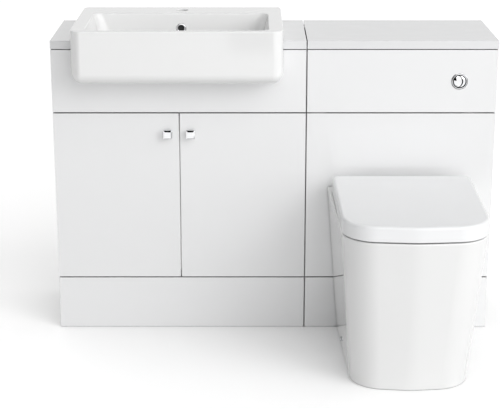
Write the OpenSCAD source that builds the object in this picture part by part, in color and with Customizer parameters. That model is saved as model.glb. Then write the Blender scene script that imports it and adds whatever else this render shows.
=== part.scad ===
// Toilet and basin combination unit: a cabinet with two doors carries a semi-recessed basin, and a
// cabinet beside it hides the cistern behind a back-to-wall toilet.
// X runs along the wall, Y from the room to the wall, Z up. The origin is on the floor, in the
// middle of the whole unit.

/* [Cabinets] */
// Width of the basin cabinet
basin_unit_w = 670; // [640:1:820]
// Width of the toilet cabinet
wc_unit_w = 500; // [470:1:620]
// Depth from the wall to the face of the doors
unit_depth = 300; // [290:1:370]
// Height of the plinth
plinth_h = 145; // [120:1:180]
// Height of the doors and the access panel
door_h = 457; // [430:1:560]
// Height of the fascia under the worktop
fascia_h = 167; // [150:1:210]
// Thickness of the worktop
worktop_t = 22; // [18:1:30]
// Thickness of the doors and the access panel
door_t = 18; // [18:1:22]
// Thickness of the carcass boards
board_t = 16; // [15:1:18]
// Gap between neighbouring fronts
front_gap = 3; // [2.5:0.5:4]
// Gap between the fascia and the worktop
worktop_gap = 2; // [1:0.5:4]
// Gap from the back of a door to the carcass
door_gap = 3; // [2.5:0.5:4]

/* [Basin] */
// Width of the basin
basin_w = 543; // [500:1:580]
// Depth of the basin, front to back
basin_d = 365; // [340:1:390]
// Height of the basin's front
basin_h = 140; // [120:1:150]
// Height of the basin's rim above the worktop
basin_rise = 42; // [30:1:60]
// How far the basin stands out in front of the doors
basin_overhang = 95; // [80:1:130]
// Width of the basin's side rims
side_rim = 37; // [30:1:50]
// Width of the basin's front rim
front_rim = 19; // [15:1:30]
// Depth of the shelf behind the bowl
rear_shelf = 94; // [80:1:110]
// Thickness from the bowl's floor to the lowest edge of the basin
bowl_floor_t = 24; // [22:1:34]
// Radius of the basin's front corners
basin_corner_r = 28; // [15:1:40]
// Radius of the basin's lower edges
basin_edge_r = 30; // [15:1:40]
// Diameter of the tap hole
tap_hole_d = 35; // [32:1:38]
// Diameter of the waste hole
waste_hole_d = 46; // [44:1:50]

/* [Toilet] */
// How far the rim stands out from the cabinet
pan_projection = 476; // [450:1:540]
// How far the foot stands out from the cabinet
foot_projection = 413; // [380:1:450]
// Height of the rim
pan_h = 405; // [390:1:440]
// Width of the rim at the cabinet
pan_rear_w = 384; // [360:1:400]
// Width of the rim near its front
pan_front_w = 356; // [340:1:370]
// Width of the foot at the cabinet
foot_rear_w = 320; // [300:1:350]
// Width of the foot near its front
foot_front_w = 296; // [280:1:330]
// Thickness of the ceramic walls
ceramic_t = 12; // [10:1:15]
// Height of the soil outlet's centre
outlet_z = 180; // [175:1:190]
// Outer diameter of the soil outlet
outlet_d = 102; // [100:1:104]
// Height of the flush inlet's centre
inlet_z = 335; // [325:1:340]

/* [Seat and lid] */
// Width of the lid at its hinges
lid_rear_w = 364; // [340:1:370]
// Width of the lid near its front
lid_front_w = 357; // [335:1:360]
// Height from the rim to the top of the lid
lid_rise = 42; // [40:1:50]
// Gap under the lid's edge
lid_gap = 3.5; // [3:0.5:5]
// Thickness of the lid's top
lid_top_t = 6; // [5:1:7]
// Thickness of the lid's skirt
lid_skirt_t = 5; // [4:1:6]
// Distance from the cabinet to the lid's rear edge
lid_setback = 39; // [37:1:50]
// Thickness of the seat
seat_t = 19; // [17:1:20]
// Distance between the two hinges
hinge_spacing = 155; // [140:1:170]

/* [Flush] */
// Outer diameter of the flush button's ring
bezel_d = 44; // [42:1:52]
// Diameter across the two button pieces
button_d = 33; // [30:1:36]
// How far a button piece travels
button_travel = 6; // [4:1:8]
// Distance from the cabinet's right edge to the button
button_inset = 100; // [60:1:200]
// Width of the cistern tank
tank_w = 380; // [360:1:400]
// Depth of the cistern tank
tank_d = 145; // [135:1:155]
// Height of the cistern tank
tank_h = 260; // [250:1:270]
// How far the flush valve lifts
valve_lift = 12; // [8:1:15]

/* [Fittings] */
// Width of the square knobs
knob_w = 23; // [18:1:30]
// How far the knobs stand out
knob_proj = 22; // [18:1:30]
// Distance from the door split to a knob's centre
knob_inset = 30; // [20:1:45]
// Distance from a door's top to a knob's centre
knob_drop = 53; // [40:1:80]
// Diameter of the cups of the door hinges
cup_d = 35; // [35:1:35]
// Distance from a door's ends to its hinges
hinge_inset = 70; // [60:1:110]

/* [Hidden] */
$fn = 64;
nick = 0.01; // how far a cut runs past the face that it opens
fit = 0.3; // clearance of a moving or seated fit
hull_fn = 32;

// Places of the cabinets
x_left = -(basin_unit_w + wc_unit_w) / 2;
x_seam = x_left + basin_unit_w;
x_right = x_seam + wc_unit_w;
basin_x = x_left + basin_unit_w / 2;
wc_x = x_seam + wc_unit_w / 2;
wall_y = (unit_depth + pan_projection) / 2;
face_y = wall_y - unit_depth;
carcass_y = face_y + door_t + door_gap;
fixed_front_t = door_t + door_gap;
edge_gap = front_gap / 2;

// Heights of the fronts and the worktop
door_z = plinth_h + front_gap;
fascia_z = door_z + door_h + front_gap;
worktop_z = fascia_z + fascia_h + worktop_gap;
worktop_top = worktop_z + worktop_t;
worktop_side_gap = 1.2;

// Rails
wall_rail_h = 90;
wall_rail_top = worktop_z - 20;
wall_fixing_d = 8;
wall_fixing_inset = 40;
tank_rail_lap = 33; // how far the rail reaches down behind the cistern
floor_rail_h = 80;
floor_rail_z = 20;
front_rail_drop = 20;
front_rail_clear = 4;

// Basin
basin_top = worktop_top + basin_rise;
basin_front_y = face_y - basin_overhang;
basin_rear_y = basin_front_y + basin_d;
basin_foot_z = basin_top - basin_h;
basin_rear_r = 12;
basin_ledge = 21;
neck_w = basin_w - 2 * basin_ledge;
neck_z = basin_foot_z + 10;
neck_rear_y = basin_rear_y - 13;
cutout_play = 2;
face_play = 0.5;
bowl_w = basin_w - 2 * side_rim;
bowl_front_y = basin_front_y + front_rim;
bowl_rear_y = basin_rear_y - rear_shelf;
bowl_depth = basin_h - bowl_floor_t;
bowl_floor_z = basin_top - bowl_depth;
bowl_rear_slope = 8;
overflow_drop = 41;
overflow_z = basin_top - overflow_drop;
overflow_d = 20;
overflow_ring_d = 27;
overflow_seat_y = bowl_rear_y - bowl_rear_slope * (overflow_drop - overflow_ring_d / 2) / bowl_depth;
tap_y = basin_rear_y - rear_shelf / 2;

// Basin waste and trap
waste_flange_d = 63;
waste_recess = 4;
waste_dish_d = 150;
waste_tube_d = 39;
waste_bore_d = 32;
waste_seat_z = bowl_floor_z - waste_recess;
waste_flange_t = 3;
waste_tail_z = neck_z - 52;
plug_d = 60;
plug_t = 4;
plug_stem_d = 6;
plug_travel = 8;
guide_t = 4;
guide_z = waste_seat_z - 24;
seal_t = 4;
backnut_t = 10;
backnut_d = 58;
trap_neck_d = 52;
trap_overlap = 14;
trap_d = 66;
trap_grip_d = trap_d + 8;
waste_y = carcass_y + board_t + trap_grip_d / 2 + 10;
trap_t = 3;
trap_z = waste_tail_z - 70;
trap_h = 60;
bottle_h = 48;
bottle_d = trap_d - 8;
bottle_grip_h = 20;
trap_outlet_d = 32;
trap_outlet_t = 2;
trap_outlet_step = 2; // how far past the trap's wall the outlet pipe's seat lies
trap_outlet_z = trap_z + trap_h - 26;
trap_branch_len = 18;
held_step = 0.4; // how much less radius a pipe or tail has where a socket or nut holds it

// Door hinges, measured inwards from a door's outer edge (u) and back from its face (v)
pin_u = 7;
pin_v = 6.25;
pin_d = 2;
knuckle_d = 4;
arm_w = 8;
arm_t = 2.2;
arm_play = 0.1;
cup_edge = 3;
cup_u = cup_edge + cup_d / 2;
cup_wall = 1;
cup_play = 0.2;
cup_bottom_v = 3.5;
cup_floor_t = 0.5;
arm_leg_u = pin_u + 14;
arm_leg_t = 4;
arm_back_y = carcass_y + 60;
plate_y = carcass_y + 12; // the plate starts behind the carcass's front edge
plate_len = 44;
plate_h = 50;
cup_flange_h = 52;
cup_flange_t = 1;
cup_flange_len = 12;
cup_flange_shift = 3;
hinge_z = [door_z + hinge_inset, door_z + door_h - hinge_inset];
door_w = basin_unit_w / 2 - front_gap;
door_u0 = -(basin_unit_w / 2 - edge_gap);

// Knobs
knob_z = door_z + door_h - knob_drop;
knob_head_t = 12;
knob_neck_w = 13;
screw_d = 4;
screw_head_d = 8;
screw_head_t = 2.4;
screw_bite = 9;
buffer_d = 8;
buffer_edge = 7;
buffer_split = 40;

// Toilet pan
pan_front_y = face_y - pan_projection;
foot_front_y = face_y - foot_projection;
pan_corner_r = 92;
foot_corner_r = 84;
pan_bulge = 7;
bulge_r = 150;
deck_t = 20;
slab = 1;
bowl_wall = 9;
rim_w = 38;
bowl_back_y = face_y - 108;
bowl_open_front_y = pan_front_y + rim_w;
sump_y = bowl_back_y - 112;
sump_z = 100;
sump_half = 44;
// Levels of the bowl: height, half width, rear edge, front edge, rear and front corner radius
bowl_mouth = [pan_h, pan_front_w / 2 - rim_w, bowl_back_y, bowl_open_front_y, 60, 100];
bowl_waist = [250, 104, bowl_back_y - 34, bowl_open_front_y + 62, 60, 78];
bowl_sump = [sump_z - 20, sump_half, sump_y + sump_half, sump_y - sump_half, 40, 40];
trapway_r = 38;
trapway_wall = 9;
trapway_past = 12; // how far each straight way runs on past its ends
trapway_end = 24;
trapway_step = 2; // how much narrower the falling way is
crown_y = face_y - 88;
crown_z = 228;
outlet_bore_d = outlet_d - 18;
outlet_len = 50;
inlet_bore_d = 44;
inlet_socket_d = 60;
inlet_socket_len = 40;
inlet_boss_d = 72;
inlet_reach = 50; // how far the flush way runs past the bowl's rear edge
fixing_clear = 60; // half the width in the middle that the side fixings leave alone
seal_play = 0.2;

// Seat, lid and their hinges
lid_rear_y = face_y - lid_setback;
lid_overhang = 10;
hinge_y = lid_rear_y - lid_overhang;
hinge_axis_z = pan_h + 19;
lid_z = pan_h + lid_gap;
lid_top_z = pan_h + lid_rise;
lid_under_z = lid_top_z - lid_top_t;
lid_corner_r = 88;
seat_top_z = hinge_axis_z + 7;
seat_z = seat_top_z - seat_t;
seat_play = 2.5;
seat_inset = lid_skirt_t + seat_play;
seat_boss_r = 9;
seat_front_ring = 64;
seat_side_ring = 62;
hinge_pin_d = 8;
hinge_pin_play = 0.1;
post_d = 18;
post_base_d = 44;
post_base_t = 3;
pin_reach = 32;
post_play = 3;
lug_r = 8;
seat_bolt_d = 10;
seat_bolt_hole_d = 16;
seat_bolt_len = 46;
wing_nut_d = 30;
wing_nut_t = 10;
buffer_pad_d = 18;
lid_pad_d = 14;

// Pan connector and floor fixings
connector_d = 110;
connector_socket_d = 116;
connector_socket_len = 50;
panel_hole_play = 3;
fixing_y = face_y - 150;
fixing_z = 28;
fixing_bolt_d = 8;
fixing_cap_d = 14;
fixing_cap_t = 2.5;
fixing_cap_gap = 0.7;
bracket_gap = 14; // from the bracket to the inside of the pan's wall
bracket_t = 4;
bracket_w = 30;
bracket_d = 40;
bracket_h = 48;

// Cistern
tank_over_inlet = 105; // room for the flush pipe's bend
tank_z = inlet_z + tank_over_inlet;
tank_wall = 4;
tank_back_y = wall_y - board_t;
tank_y = tank_back_y - tank_d / 2;
tank_corner_r = 20;
tank_lid_t = 3;
tank_lid_rim = 12;
tank_lid_play = 0.5;
valve_d = 78;
valve_wall = 3;
valve_flange_d = 84;
valve_tail_d = 58;
tail_wall = 3.7;
tail_len = 40;
valve_cage_h = 112;
valve_window_h = 30;
valve_head_d = 38;
valve_cap_z = tank_z + tank_h - 18;
valve_cap_t = 8;
valve_gland_d = 12;
valve_gland_h = 20;
seat_ring_h = 3;
core_tube_d = 26;
core_tube_wall = 3;
core_disc_d = 60;
core_disc_t = 4;
core_seal_t = 3.7;
core_seal_d = 62;
core_head_room = 15;
fill_x = wc_x + 120;
fill_d = 24;
fill_head_d = 40;
fill_head_h = 32;
fill_tail_d = 20.95;
fill_flange_d = 36;
float_d = 60;
float_h = 50;
float_z = tank_z + 118;
float_travel = 28;
float_head_room = 4;
fill_head_z = float_z + float_h + float_travel + float_head_room;
nut_t = 10;

// Flush pipe
pipe_d = 50;
pipe_wall = 3;
pipe_bend_r = 60;
pipe_top_z = tank_z - 25;
pipe_end_y = face_y - 26;

// Flush button
button_x = x_right - button_inset;
button_z = fascia_z + fascia_h / 2;
bezel_t = 3;
sleeve_d = 40;
bezel_bore_d = button_d + 2 * fit;
sleeve_len = fixed_front_t + 6;
housing_d = 50;
housing_len = 26;
housing_wall = 3;
housing_nut_y = face_y + fixed_front_t;
button_cap_t = 6;
button_leg_d = 7;
button_proud = 1;
button_split = 9;
button_leg_room = 8;
button_leg_y = housing_nut_y + housing_len - housing_wall - button_travel - button_leg_room;
gland_d = 12;
gland_len = 10;

// Flush cable, with points chosen by hand between its two glands
cable_r = 3;
cable_sides = 8;
cable_steps = 4;
cable_start = [button_x, housing_nut_y + housing_len + gland_len, button_z];
cable_end = [wc_x, tank_y, valve_cap_z + valve_cap_t + valve_gland_h];
cable_route = [
    cable_start, cable_start + [0, 14, 0], cable_start + [-4, 38, 8],
    (cable_start + cable_end) / 2 + [22, -14, 36],
    cable_end + [44, -28, 34], cable_end + [12, -6, 26], cable_end + [0, 0, 10], cable_end
];

front_colour = "whitesmoke";
board_colour = "gainsboro";
ceramic_colour = "white";
seat_colour = "snow";
chrome = "silver";
steel = "darkgray";
plastic = "lightgray";
rubber = "dimgray";

// ---------- shared shapes ----------

// What a fillet takes off the corner at (x, y) of a rectangle that lies on the side (sx, sy)
module corner_cut(x, y, sx, sy, r) {
    translate([x, y])
        difference() {
            translate([sx > 0 ? -1 : -r, sy > 0 ? -1 : -r])
                square([r + 1, r + 1]);
            translate([sx * r, sy * r])
                circle(r);
        }
}

// Rectangle in plan with one radius at its front corners and another at its rear corners
module plan_rect(x0, x1, y0, y1, front_r, rear_r) {
    difference() {
        translate([x0, y0])
            square([x1 - x0, y1 - y0]);
        corner_cut(x0, y0, 1, 1, front_r);
        corner_cut(x1, y0, -1, 1, front_r);
        corner_cut(x0, y1, 1, -1, rear_r);
        corner_cut(x1, y1, -1, -1, rear_r);
    }
}

// Upright tube standing at z0
module pipe_z(x, y, z0, z1, outer_d, bore_d) {
    translate([x, y, z0])
        difference() {
            cylinder(h = z1 - z0, d = outer_d);
            translate([0, 0, -nick])
                cylinder(h = z1 - z0 + 2 * nick, d = bore_d);
        }
}

// Round bar along Y
module bar_y(x, z, y0, y1, d) {
    translate([x, y0, z])
        rotate([-90, 0, 0])
            cylinder(h = y1 - y0, d = d);
}

// Tube along Y
module pipe_y(x, z, y0, y1, outer_d, bore_d) {
    difference() {
        bar_y(x, z, y0, y1, outer_d);
        bar_y(x, z, y0 - nick, y1 + nick, bore_d);
    }
}

// Round bar along X
module bar_x(x0, x1, y, z, d) {
    translate([x0, y, z])
        rotate([0, 90, 0])
            cylinder(h = x1 - x0, d = d);
}

// Thin slice of a body that is widest at the cabinet and rounded in front
module rounded_slice(z, rear_half, front_half, y_back, y_front, r, bulge, sides) {
    translate([wc_x - rear_half, y_back - slab, z])
        cube([2 * rear_half, slab, slab]);
    for (side = [-1, 1])
        translate([wc_x + side * (front_half - r), y_front + bulge + r, z])
            cylinder(h = slab, r = r, $fn = sides);
    translate([wc_x, y_front + bulge_r, z])
        cylinder(h = slab, r = bulge_r, $fn = sides);
}

// Outline in plan of the seat and the lid
module seat_outline(rear_half, front_half, y_back, y_front, r) {
    hull() {
        translate([wc_x - rear_half, y_back - slab])
            square([2 * rear_half, slab]);
        for (side = [-1, 1])
            translate([wc_x + side * (front_half - r), y_front + pan_bulge + r])
                circle(r);
        translate([wc_x, y_front + bulge_r])
            circle(bulge_r);
    }
}

// Point on a smooth line through four points, between the second and the third
function smooth_point(a, b, c, d, t) =
    0.5 * (2 * b + (c - a) * t + (2 * a - 5 * b + 4 * c - d) * t * t
    + (3 * b - a - 3 * c + d) * t * t * t);

// A smooth line through all the points of a route
function smooth_route(p, steps) = concat(
    [for (i = [0 : len(p) - 2], s = [0 : steps - 1])
        smooth_point(p[max(i - 1, 0)], p[i], p[i + 1], p[min(i + 2, len(p) - 1)], s / steps)],
    [p[len(p) - 1]]);

function unit(v) = v / norm(v);

// Round cable along a route that starts and ends square to its two glands; across is a direction
// that the route never takes
module cable(route, r, sides, start_way, end_way, across) {
    rings = [for (i = [0 : len(route) - 1])
        let (along = i == 0 ? start_way
                 : i == len(route) - 1 ? end_way
                 : unit(route[i + 1] - route[i - 1]),
             a = unit(cross(along, across)), b = cross(along, a))
        [for (k = [0 : sides - 1])
            route[i] + r * (cos(360 * k / sides) * a + sin(360 * k / sides) * b)]];
    points = concat([for (ring = rings) for (p = ring) p], [route[0], route[len(route) - 1]]);
    last = len(route) - 1;
    start_cap = len(points) - 2;
    end_cap = len(points) - 1;
    faces = concat(
        [for (i = [0 : last - 1], k = [0 : sides - 1])
            [i * sides + k, (i + 1) * sides + k, (i + 1) * sides + (k + 1) % sides]],
        [for (i = [0 : last - 1], k = [0 : sides - 1])
            [i * sides + k, (i + 1) * sides + (k + 1) % sides, i * sides + (k + 1) % sides]],
        [for (k = [0 : sides - 1]) [start_cap, k, (k + 1) % sides]],
        [for (k = [0 : sides - 1]) [end_cap, last * sides + (k + 1) % sides, last * sides + k]]);
    polyhedron(points = points, faces = faces);
}

// ---------- cabinets ----------

module side_panel(x) {
    color(board_colour)
        translate([x, carcass_y, 0])
            cube([board_t, wall_y - carcass_y, worktop_z]);
}

module basin_unit_left_side() side_panel(x_left);
module basin_unit_right_side() side_panel(x_seam - board_t);
module wc_unit_left_side() side_panel(x_seam);
module wc_unit_right_side() side_panel(x_right - board_t);

module basin_unit_base() {
    color(board_colour)
        translate([x_left + board_t, carcass_y, plinth_h])
            cube([basin_unit_w - 2 * board_t, wall_y - carcass_y - board_t, board_t]);
}

// Rail across the back of a cabinet, with a hole at each end for a screw into the wall
module wall_rail(x, w, z) {
    rail_h = wall_rail_top - z;
    color(board_colour)
        difference() {
            translate([x + board_t, wall_y - board_t, z])
                cube([w - 2 * board_t, board_t, rail_h]);
            for (hole_x = [x + wall_fixing_inset, x + w - wall_fixing_inset])
                bar_y(hole_x, z + rail_h / 2, wall_y - board_t - nick, wall_y + nick, wall_fixing_d);
        }
}

module basin_unit_wall_rail() wall_rail(x_left, basin_unit_w, wall_rail_top - wall_rail_h);
module wc_unit_wall_rail() wall_rail(x_seam, wc_unit_w, tank_z + tank_h - tank_rail_lap);

module basin_unit_front_rail() {
    rail_z = fascia_z - front_rail_drop;
    color(board_colour)
        translate([x_left + board_t, carcass_y, rail_z])
            cube([basin_unit_w - 2 * board_t, board_t,
                  neck_z - cutout_play - front_rail_clear - rail_z]);
}

module wc_unit_floor_rail() {
    color(board_colour)
        translate([x_seam + board_t, wall_y - board_t, floor_rail_z])
            cube([wc_unit_w - 2 * board_t, board_t, floor_rail_h]);
}

// Fixed board in the plane of the doors, flat against the carcass
module fixed_front(x, w, z, h) {
    translate([x + edge_gap, face_y, z])
        cube([w - front_gap, fixed_front_t, h]);
}

module basin_fascia() {
    color(front_colour)
        difference() {
            fixed_front(x_left, basin_unit_w, fascia_z, fascia_h);
            translate([basin_x - neck_w / 2 - cutout_play, face_y - 1, neck_z - cutout_play])
                cube([neck_w + 2 * cutout_play, fixed_front_t + 2, basin_h]);
        }
}

module wc_fascia() {
    color(front_colour)
        difference() {
            fixed_front(x_seam, wc_unit_w, fascia_z, fascia_h);
            bar_y(button_x, button_z, face_y - 1, carcass_y + 1, sleeve_d + 2 * fit);
        }
}

module basin_plinth() {
    color(front_colour)
        fixed_front(x_left, basin_unit_w, 0, plinth_h);
}

module wc_plinth() {
    color(front_colour)
        difference() {
            fixed_front(x_seam, wc_unit_w, 0, plinth_h);
            bar_y(wc_x, outlet_z, face_y - 1, carcass_y + 1, outlet_d + 2 * panel_hole_play);
        }
}

module worktop(x, w) {
    translate([x + worktop_side_gap, face_y, worktop_z])
        cube([w - 2 * worktop_side_gap, unit_depth, worktop_t]);
}

module basin_worktop() {
    color(front_colour)
        difference() {
            worktop(x_left, basin_unit_w);
            translate([basin_x - neck_w / 2 - cutout_play, face_y - 1, worktop_z - 1])
                cube([neck_w + 2 * cutout_play, neck_rear_y + cutout_play - face_y + 1,
                      worktop_t + 2]);
        }
}

module wc_worktop() {
    color(front_colour)
        worktop(x_seam, wc_unit_w);
}

module wc_access_panel() {
    color(front_colour)
        difference() {
            translate([x_seam + edge_gap, face_y, door_z])
                cube([wc_unit_w - front_gap, door_t, door_h]);
            bar_y(wc_x, outlet_z, face_y - 1, carcass_y,
                  outlet_d + 2 * panel_hole_play);
            bar_y(wc_x, inlet_z, face_y - 1, carcass_y, pipe_d + 2 * panel_hole_play);
        }
}

// Four clips that hold the access panel to the cabinet's sides
module panel_clips() {
    clip_h = 24;
    clip_w = 22;
    tongue_t = 3;
    clip_len = 36;
    clip_inset = 80;
    color(plastic)
        for (z = [door_z + clip_inset, door_z + door_h - clip_inset], side = [-1, 1])
            translate([wc_x, 0, z - clip_h / 2])
                mirror([side > 0 ? 1 : 0, 0, 0])
                    translate([-(wc_unit_w / 2 - board_t), face_y + door_t, 0]) {
                        cube([clip_w, tongue_t, clip_h]);
                        cube([tongue_t, clip_len, clip_h]);
                    }
}

// ---------- doors ----------

// Places a left-hand piece, drawn about the middle of the cabinet, on one side or mirrored
module door_side(side) {
    translate([basin_x, 0, 0])
        mirror([side > 0 ? 1 : 0, 0, 0])
            children();
}

module door_panel() {
    color(front_colour)
        difference() {
            translate([door_u0, face_y, door_z])
                cube([door_w, door_t, door_h]);
            for (z = hinge_z)
                translate([door_u0 + cup_u, 0, z])
                    rotate([-90, 0, 0])
                        translate([0, 0, face_y + cup_bottom_v])
                            cylinder(h = door_t, d = cup_d + cup_play);
            bar_y(-knob_inset, knob_z, face_y - 1, face_y + door_t + 1, screw_d + 2 * fit);
        }
}

module knob() {
    head_y = face_y - knob_proj;
    color(chrome)
        difference() {
            union() {
                translate([-knob_inset - knob_w / 2, head_y, knob_z - knob_w / 2])
                    cube([knob_w, knob_head_t, knob_w]);
                translate([-knob_inset - knob_neck_w / 2, head_y + knob_head_t - nick,
                           knob_z - knob_neck_w / 2])
                    cube([knob_neck_w, knob_proj - knob_head_t + nick, knob_neck_w]);
            }
            bar_y(-knob_inset, knob_z, face_y - screw_bite - 1, face_y + 1, screw_d + 0.2);
        }
}

module knob_screw() {
    color(steel) {
        bar_y(-knob_inset, knob_z, face_y - screw_bite, face_y + door_t + 1, screw_d);
        bar_y(-knob_inset, knob_z, face_y + door_t, face_y + door_t + screw_head_t, screw_head_d);
    }
}

// Two cups let into the back of a door, each with its flange and the pin across it
module hinge_cups() {
    color(steel)
        for (z = hinge_z)
            translate([door_u0 + cup_u, face_y, z]) {
                difference() {
                    union() {
                        bar_y(0, 0, cup_bottom_v, door_t, cup_d);
                        translate([cup_flange_shift, door_t, -cup_flange_h / 2])
                            cube([cup_flange_len, cup_flange_t, cup_flange_h]);
                        bar_y(0, 0, door_t - nick, door_t + cup_flange_t, cup_d);
                    }
                    bar_y(0, 0, cup_bottom_v + cup_floor_t, door_t + cup_flange_t + 1,
                          cup_d - 2 * cup_wall);
                }
                translate([pin_u - cup_u, pin_v, -pin_reach_in_cup()])
                    cylinder(h = 2 * pin_reach_in_cup(), d = pin_d);
            }
}

// Half the length of a pin that ends inside the wall of its cup
function pin_reach_in_cup() =
    sqrt(pow(cup_d / 2 - cup_wall / 2, 2) - pow(cup_u - pin_u, 2));

// Two bent arms, each turning on its cup's pin and fixed to a plate on the cabinet's side
module hinge_arms() {
    side_u = board_t - edge_gap;
    color(steel)
        for (z = hinge_z)
            translate([door_u0, face_y, z - arm_w / 2]) {
                difference() {
                    union() {
                        translate([pin_u, pin_v, 0])
                            cylinder(h = arm_w, d = knuckle_d);
                        translate([pin_u, pin_v - arm_t / 2, 0])
                            cube([arm_leg_u + arm_leg_t - pin_u, arm_t, arm_w]);
                    }
                    translate([pin_u, pin_v, -1])
                        cylinder(h = arm_w + 2, d = pin_d + 2 * arm_play);
                }
                translate([arm_leg_u, pin_v - arm_t / 2, 0])
                    cube([arm_leg_t, arm_back_y - face_y - pin_v + arm_t / 2, arm_w]);
                translate([side_u, plate_y - face_y, (arm_w - plate_h) / 2])
                    cube([arm_leg_u - side_u + nick, plate_len, plate_h]);
            }
}

module left_door() door_side(-1) door_panel();
module right_door() door_side(1) door_panel();
module left_knob() door_side(-1) knob();
module right_knob() door_side(1) knob();
module left_knob_screw() door_side(-1) knob_screw();
module right_knob_screw() door_side(1) knob_screw();
module left_hinge_cups() door_side(-1) hinge_cups();
module right_hinge_cups() door_side(1) hinge_cups();
module left_hinge_arms() door_side(-1) hinge_arms();
module right_hinge_arms() door_side(1) hinge_arms();

// Soft pads on the front edges of the base and the front rail, behind the free corners of the doors
module door_buffers() {
    color(rubber)
        for (side = [-1, 1], z = [door_z + buffer_edge, door_z + door_h - buffer_edge])
            bar_y(basin_x + side * buffer_split, z, carcass_y - door_gap + fit, carcass_y, buffer_d);
}

// ---------- basin ----------

// The rim and the front box, with the corners and the lower edges rounded
module basin_block() {
    difference() {
        intersection() {
            translate([0, 0, basin_foot_z])
                linear_extrude(basin_h)
                    plan_rect(basin_x - basin_w / 2, basin_x + basin_w / 2,
                              basin_front_y, basin_rear_y, basin_corner_r, basin_rear_r);
            translate([0, basin_rear_y + 1, 0])
                rotate([90, 0, 0])
                    linear_extrude(basin_d + 2)
                        plan_rect(basin_x - basin_w / 2, basin_x + basin_w / 2,
                                  basin_foot_z, basin_top, basin_edge_r, nick);
            translate([basin_x - basin_w / 2 - 1, 0, 0])
                rotate([90, 0, 90])
                    linear_extrude(basin_w + 2)
                        difference() {
                            translate([basin_front_y, basin_foot_z])
                                square([basin_d, basin_h]);
                            corner_cut(basin_front_y, basin_foot_z, 1, 1, basin_edge_r);
                        }
        }
        translate([basin_x - basin_w, face_y - face_play, basin_foot_z - 1])
            cube([2 * basin_w, basin_d, worktop_top - basin_foot_z + 1]);
    }
}

// The part of the basin that hangs through the worktop
module basin_neck() {
    translate([basin_x - neck_w / 2, face_y - face_play - 1, neck_z])
        cube([neck_w, neck_rear_y - face_y + face_play + 1, worktop_top - neck_z + 1]);
}

module bowl_hollow() {
    corner_r = 24;
    floor_r = 45;
    side_draft = 30;
    front_draft = 28;
    hull() {
        for (sx = [-1, 1]) {
            for (y = [bowl_front_y + corner_r, bowl_rear_y - corner_r])
                translate([basin_x + sx * (bowl_w / 2 - corner_r), y, basin_top])
                    cylinder(h = slab, r = corner_r, $fn = hull_fn);
            translate([basin_x + sx * (bowl_w / 2 - side_draft - floor_r),
                       bowl_front_y + front_draft + floor_r, bowl_floor_z])
                cylinder(h = slab, r = floor_r, $fn = hull_fn);
            translate([basin_x + sx * (bowl_w / 2 - side_draft - floor_r),
                       bowl_rear_y - bowl_rear_slope - floor_r, bowl_floor_z])
                cylinder(h = slab, r = floor_r, $fn = hull_fn);
        }
    }
}

// The overflow runs back from the bowl, down behind it and forward to the waste
module overflow_way() {
    way_d = 12;
    way_y = overflow_seat_y + way_d / 2 + 7;
    foot_d = 6;
    foot_z = waste_seat_z - foot_d;
    bar_y(basin_x, overflow_z, bowl_rear_y - 40, overflow_seat_y, overflow_ring_d + 1);
    bar_y(basin_x, overflow_z, overflow_seat_y - 1, way_y, overflow_d + 2 * fit);
    translate([basin_x, way_y, foot_z])
        cylinder(h = overflow_z - foot_z, d = way_d);
    bar_y(basin_x, foot_z, waste_y, way_y + way_d / 2 - 1, foot_d);
}

// Hollows under the shelf behind the bowl: one each side, and one round the tap hole
module shelf_pockets() {
    wall = 14;
    spine = 34;
    shelf_t = 24;
    pocket_y = bowl_rear_y + wall;
    for (side = [-1, 1])
        translate([basin_x, 0, 0])
            mirror([side < 0 ? 1 : 0, 0, 0])
                translate([spine, pocket_y, neck_z - 1])
                    cube([neck_w / 2 - wall - spine, neck_rear_y - wall - pocket_y,
                          basin_top - shelf_t - neck_z + 1]);
    translate([basin_x, tap_y, neck_z - 1])
        cylinder(h = basin_top - shelf_t - neck_z + 1, d = tap_hole_d + 15);
}

module basin() {
    color(ceramic_colour)
        difference() {
            union() {
                basin_block();
                basin_neck();
            }
            bowl_hollow();
            translate([basin_x, waste_y, waste_seat_z])
                cylinder(h = waste_recess + nick, d1 = waste_flange_d + 2, d2 = waste_dish_d);
            translate([basin_x, waste_y, neck_z - 1])
                cylinder(h = basin_h, d = waste_hole_d);
            translate([basin_x, tap_y, neck_z - 1])
                cylinder(h = basin_h, d = tap_hole_d);
            shelf_pockets();
            overflow_way();
        }
}

module overflow_ring() {
    flange_t = 2.5;
    collar_len = 6;
    collar_t = 1.5;
    color(chrome)
        difference() {
            union() {
                bar_y(basin_x, overflow_z, overflow_seat_y - flange_t, overflow_seat_y,
                      overflow_ring_d);
                bar_y(basin_x, overflow_z, overflow_seat_y - nick, overflow_seat_y + collar_len,
                      overflow_d);
            }
            bar_y(basin_x, overflow_z, overflow_seat_y - flange_t - 1,
                  overflow_seat_y + collar_len + 1, overflow_d - 2 * collar_t);
        }
}

module basin_waste() {
    slot_w = 16;
    slot_h = 10;
    slot_z = waste_seat_z - 14;
    guide_w = 10;
    color(chrome) {
        difference() {
            union() {
                translate([basin_x, waste_y, waste_seat_z])
                    cylinder(h = waste_flange_t, d = waste_flange_d);
                translate([basin_x, waste_y, waste_tail_z])
                    cylinder(h = waste_seat_z - waste_tail_z + nick, d = waste_tube_d);
            }
            translate([basin_x, waste_y, waste_tail_z - 1])
                cylinder(h = waste_seat_z - waste_tail_z + 6, d = waste_bore_d);
            translate([basin_x - slot_w / 2, waste_y - waste_flange_d, slot_z])
                cube([slot_w, 2 * waste_flange_d, slot_h]);
        }
        difference() {
            translate([basin_x - waste_bore_d / 2 - 1, waste_y - guide_w / 2, guide_z])
                cube([waste_bore_d + 2, guide_w, guide_t]);
            translate([basin_x, waste_y, guide_z - 1])
                cylinder(h = guide_t + 2, d = plug_stem_d + 2 * fit);
        }
    }
}

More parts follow.
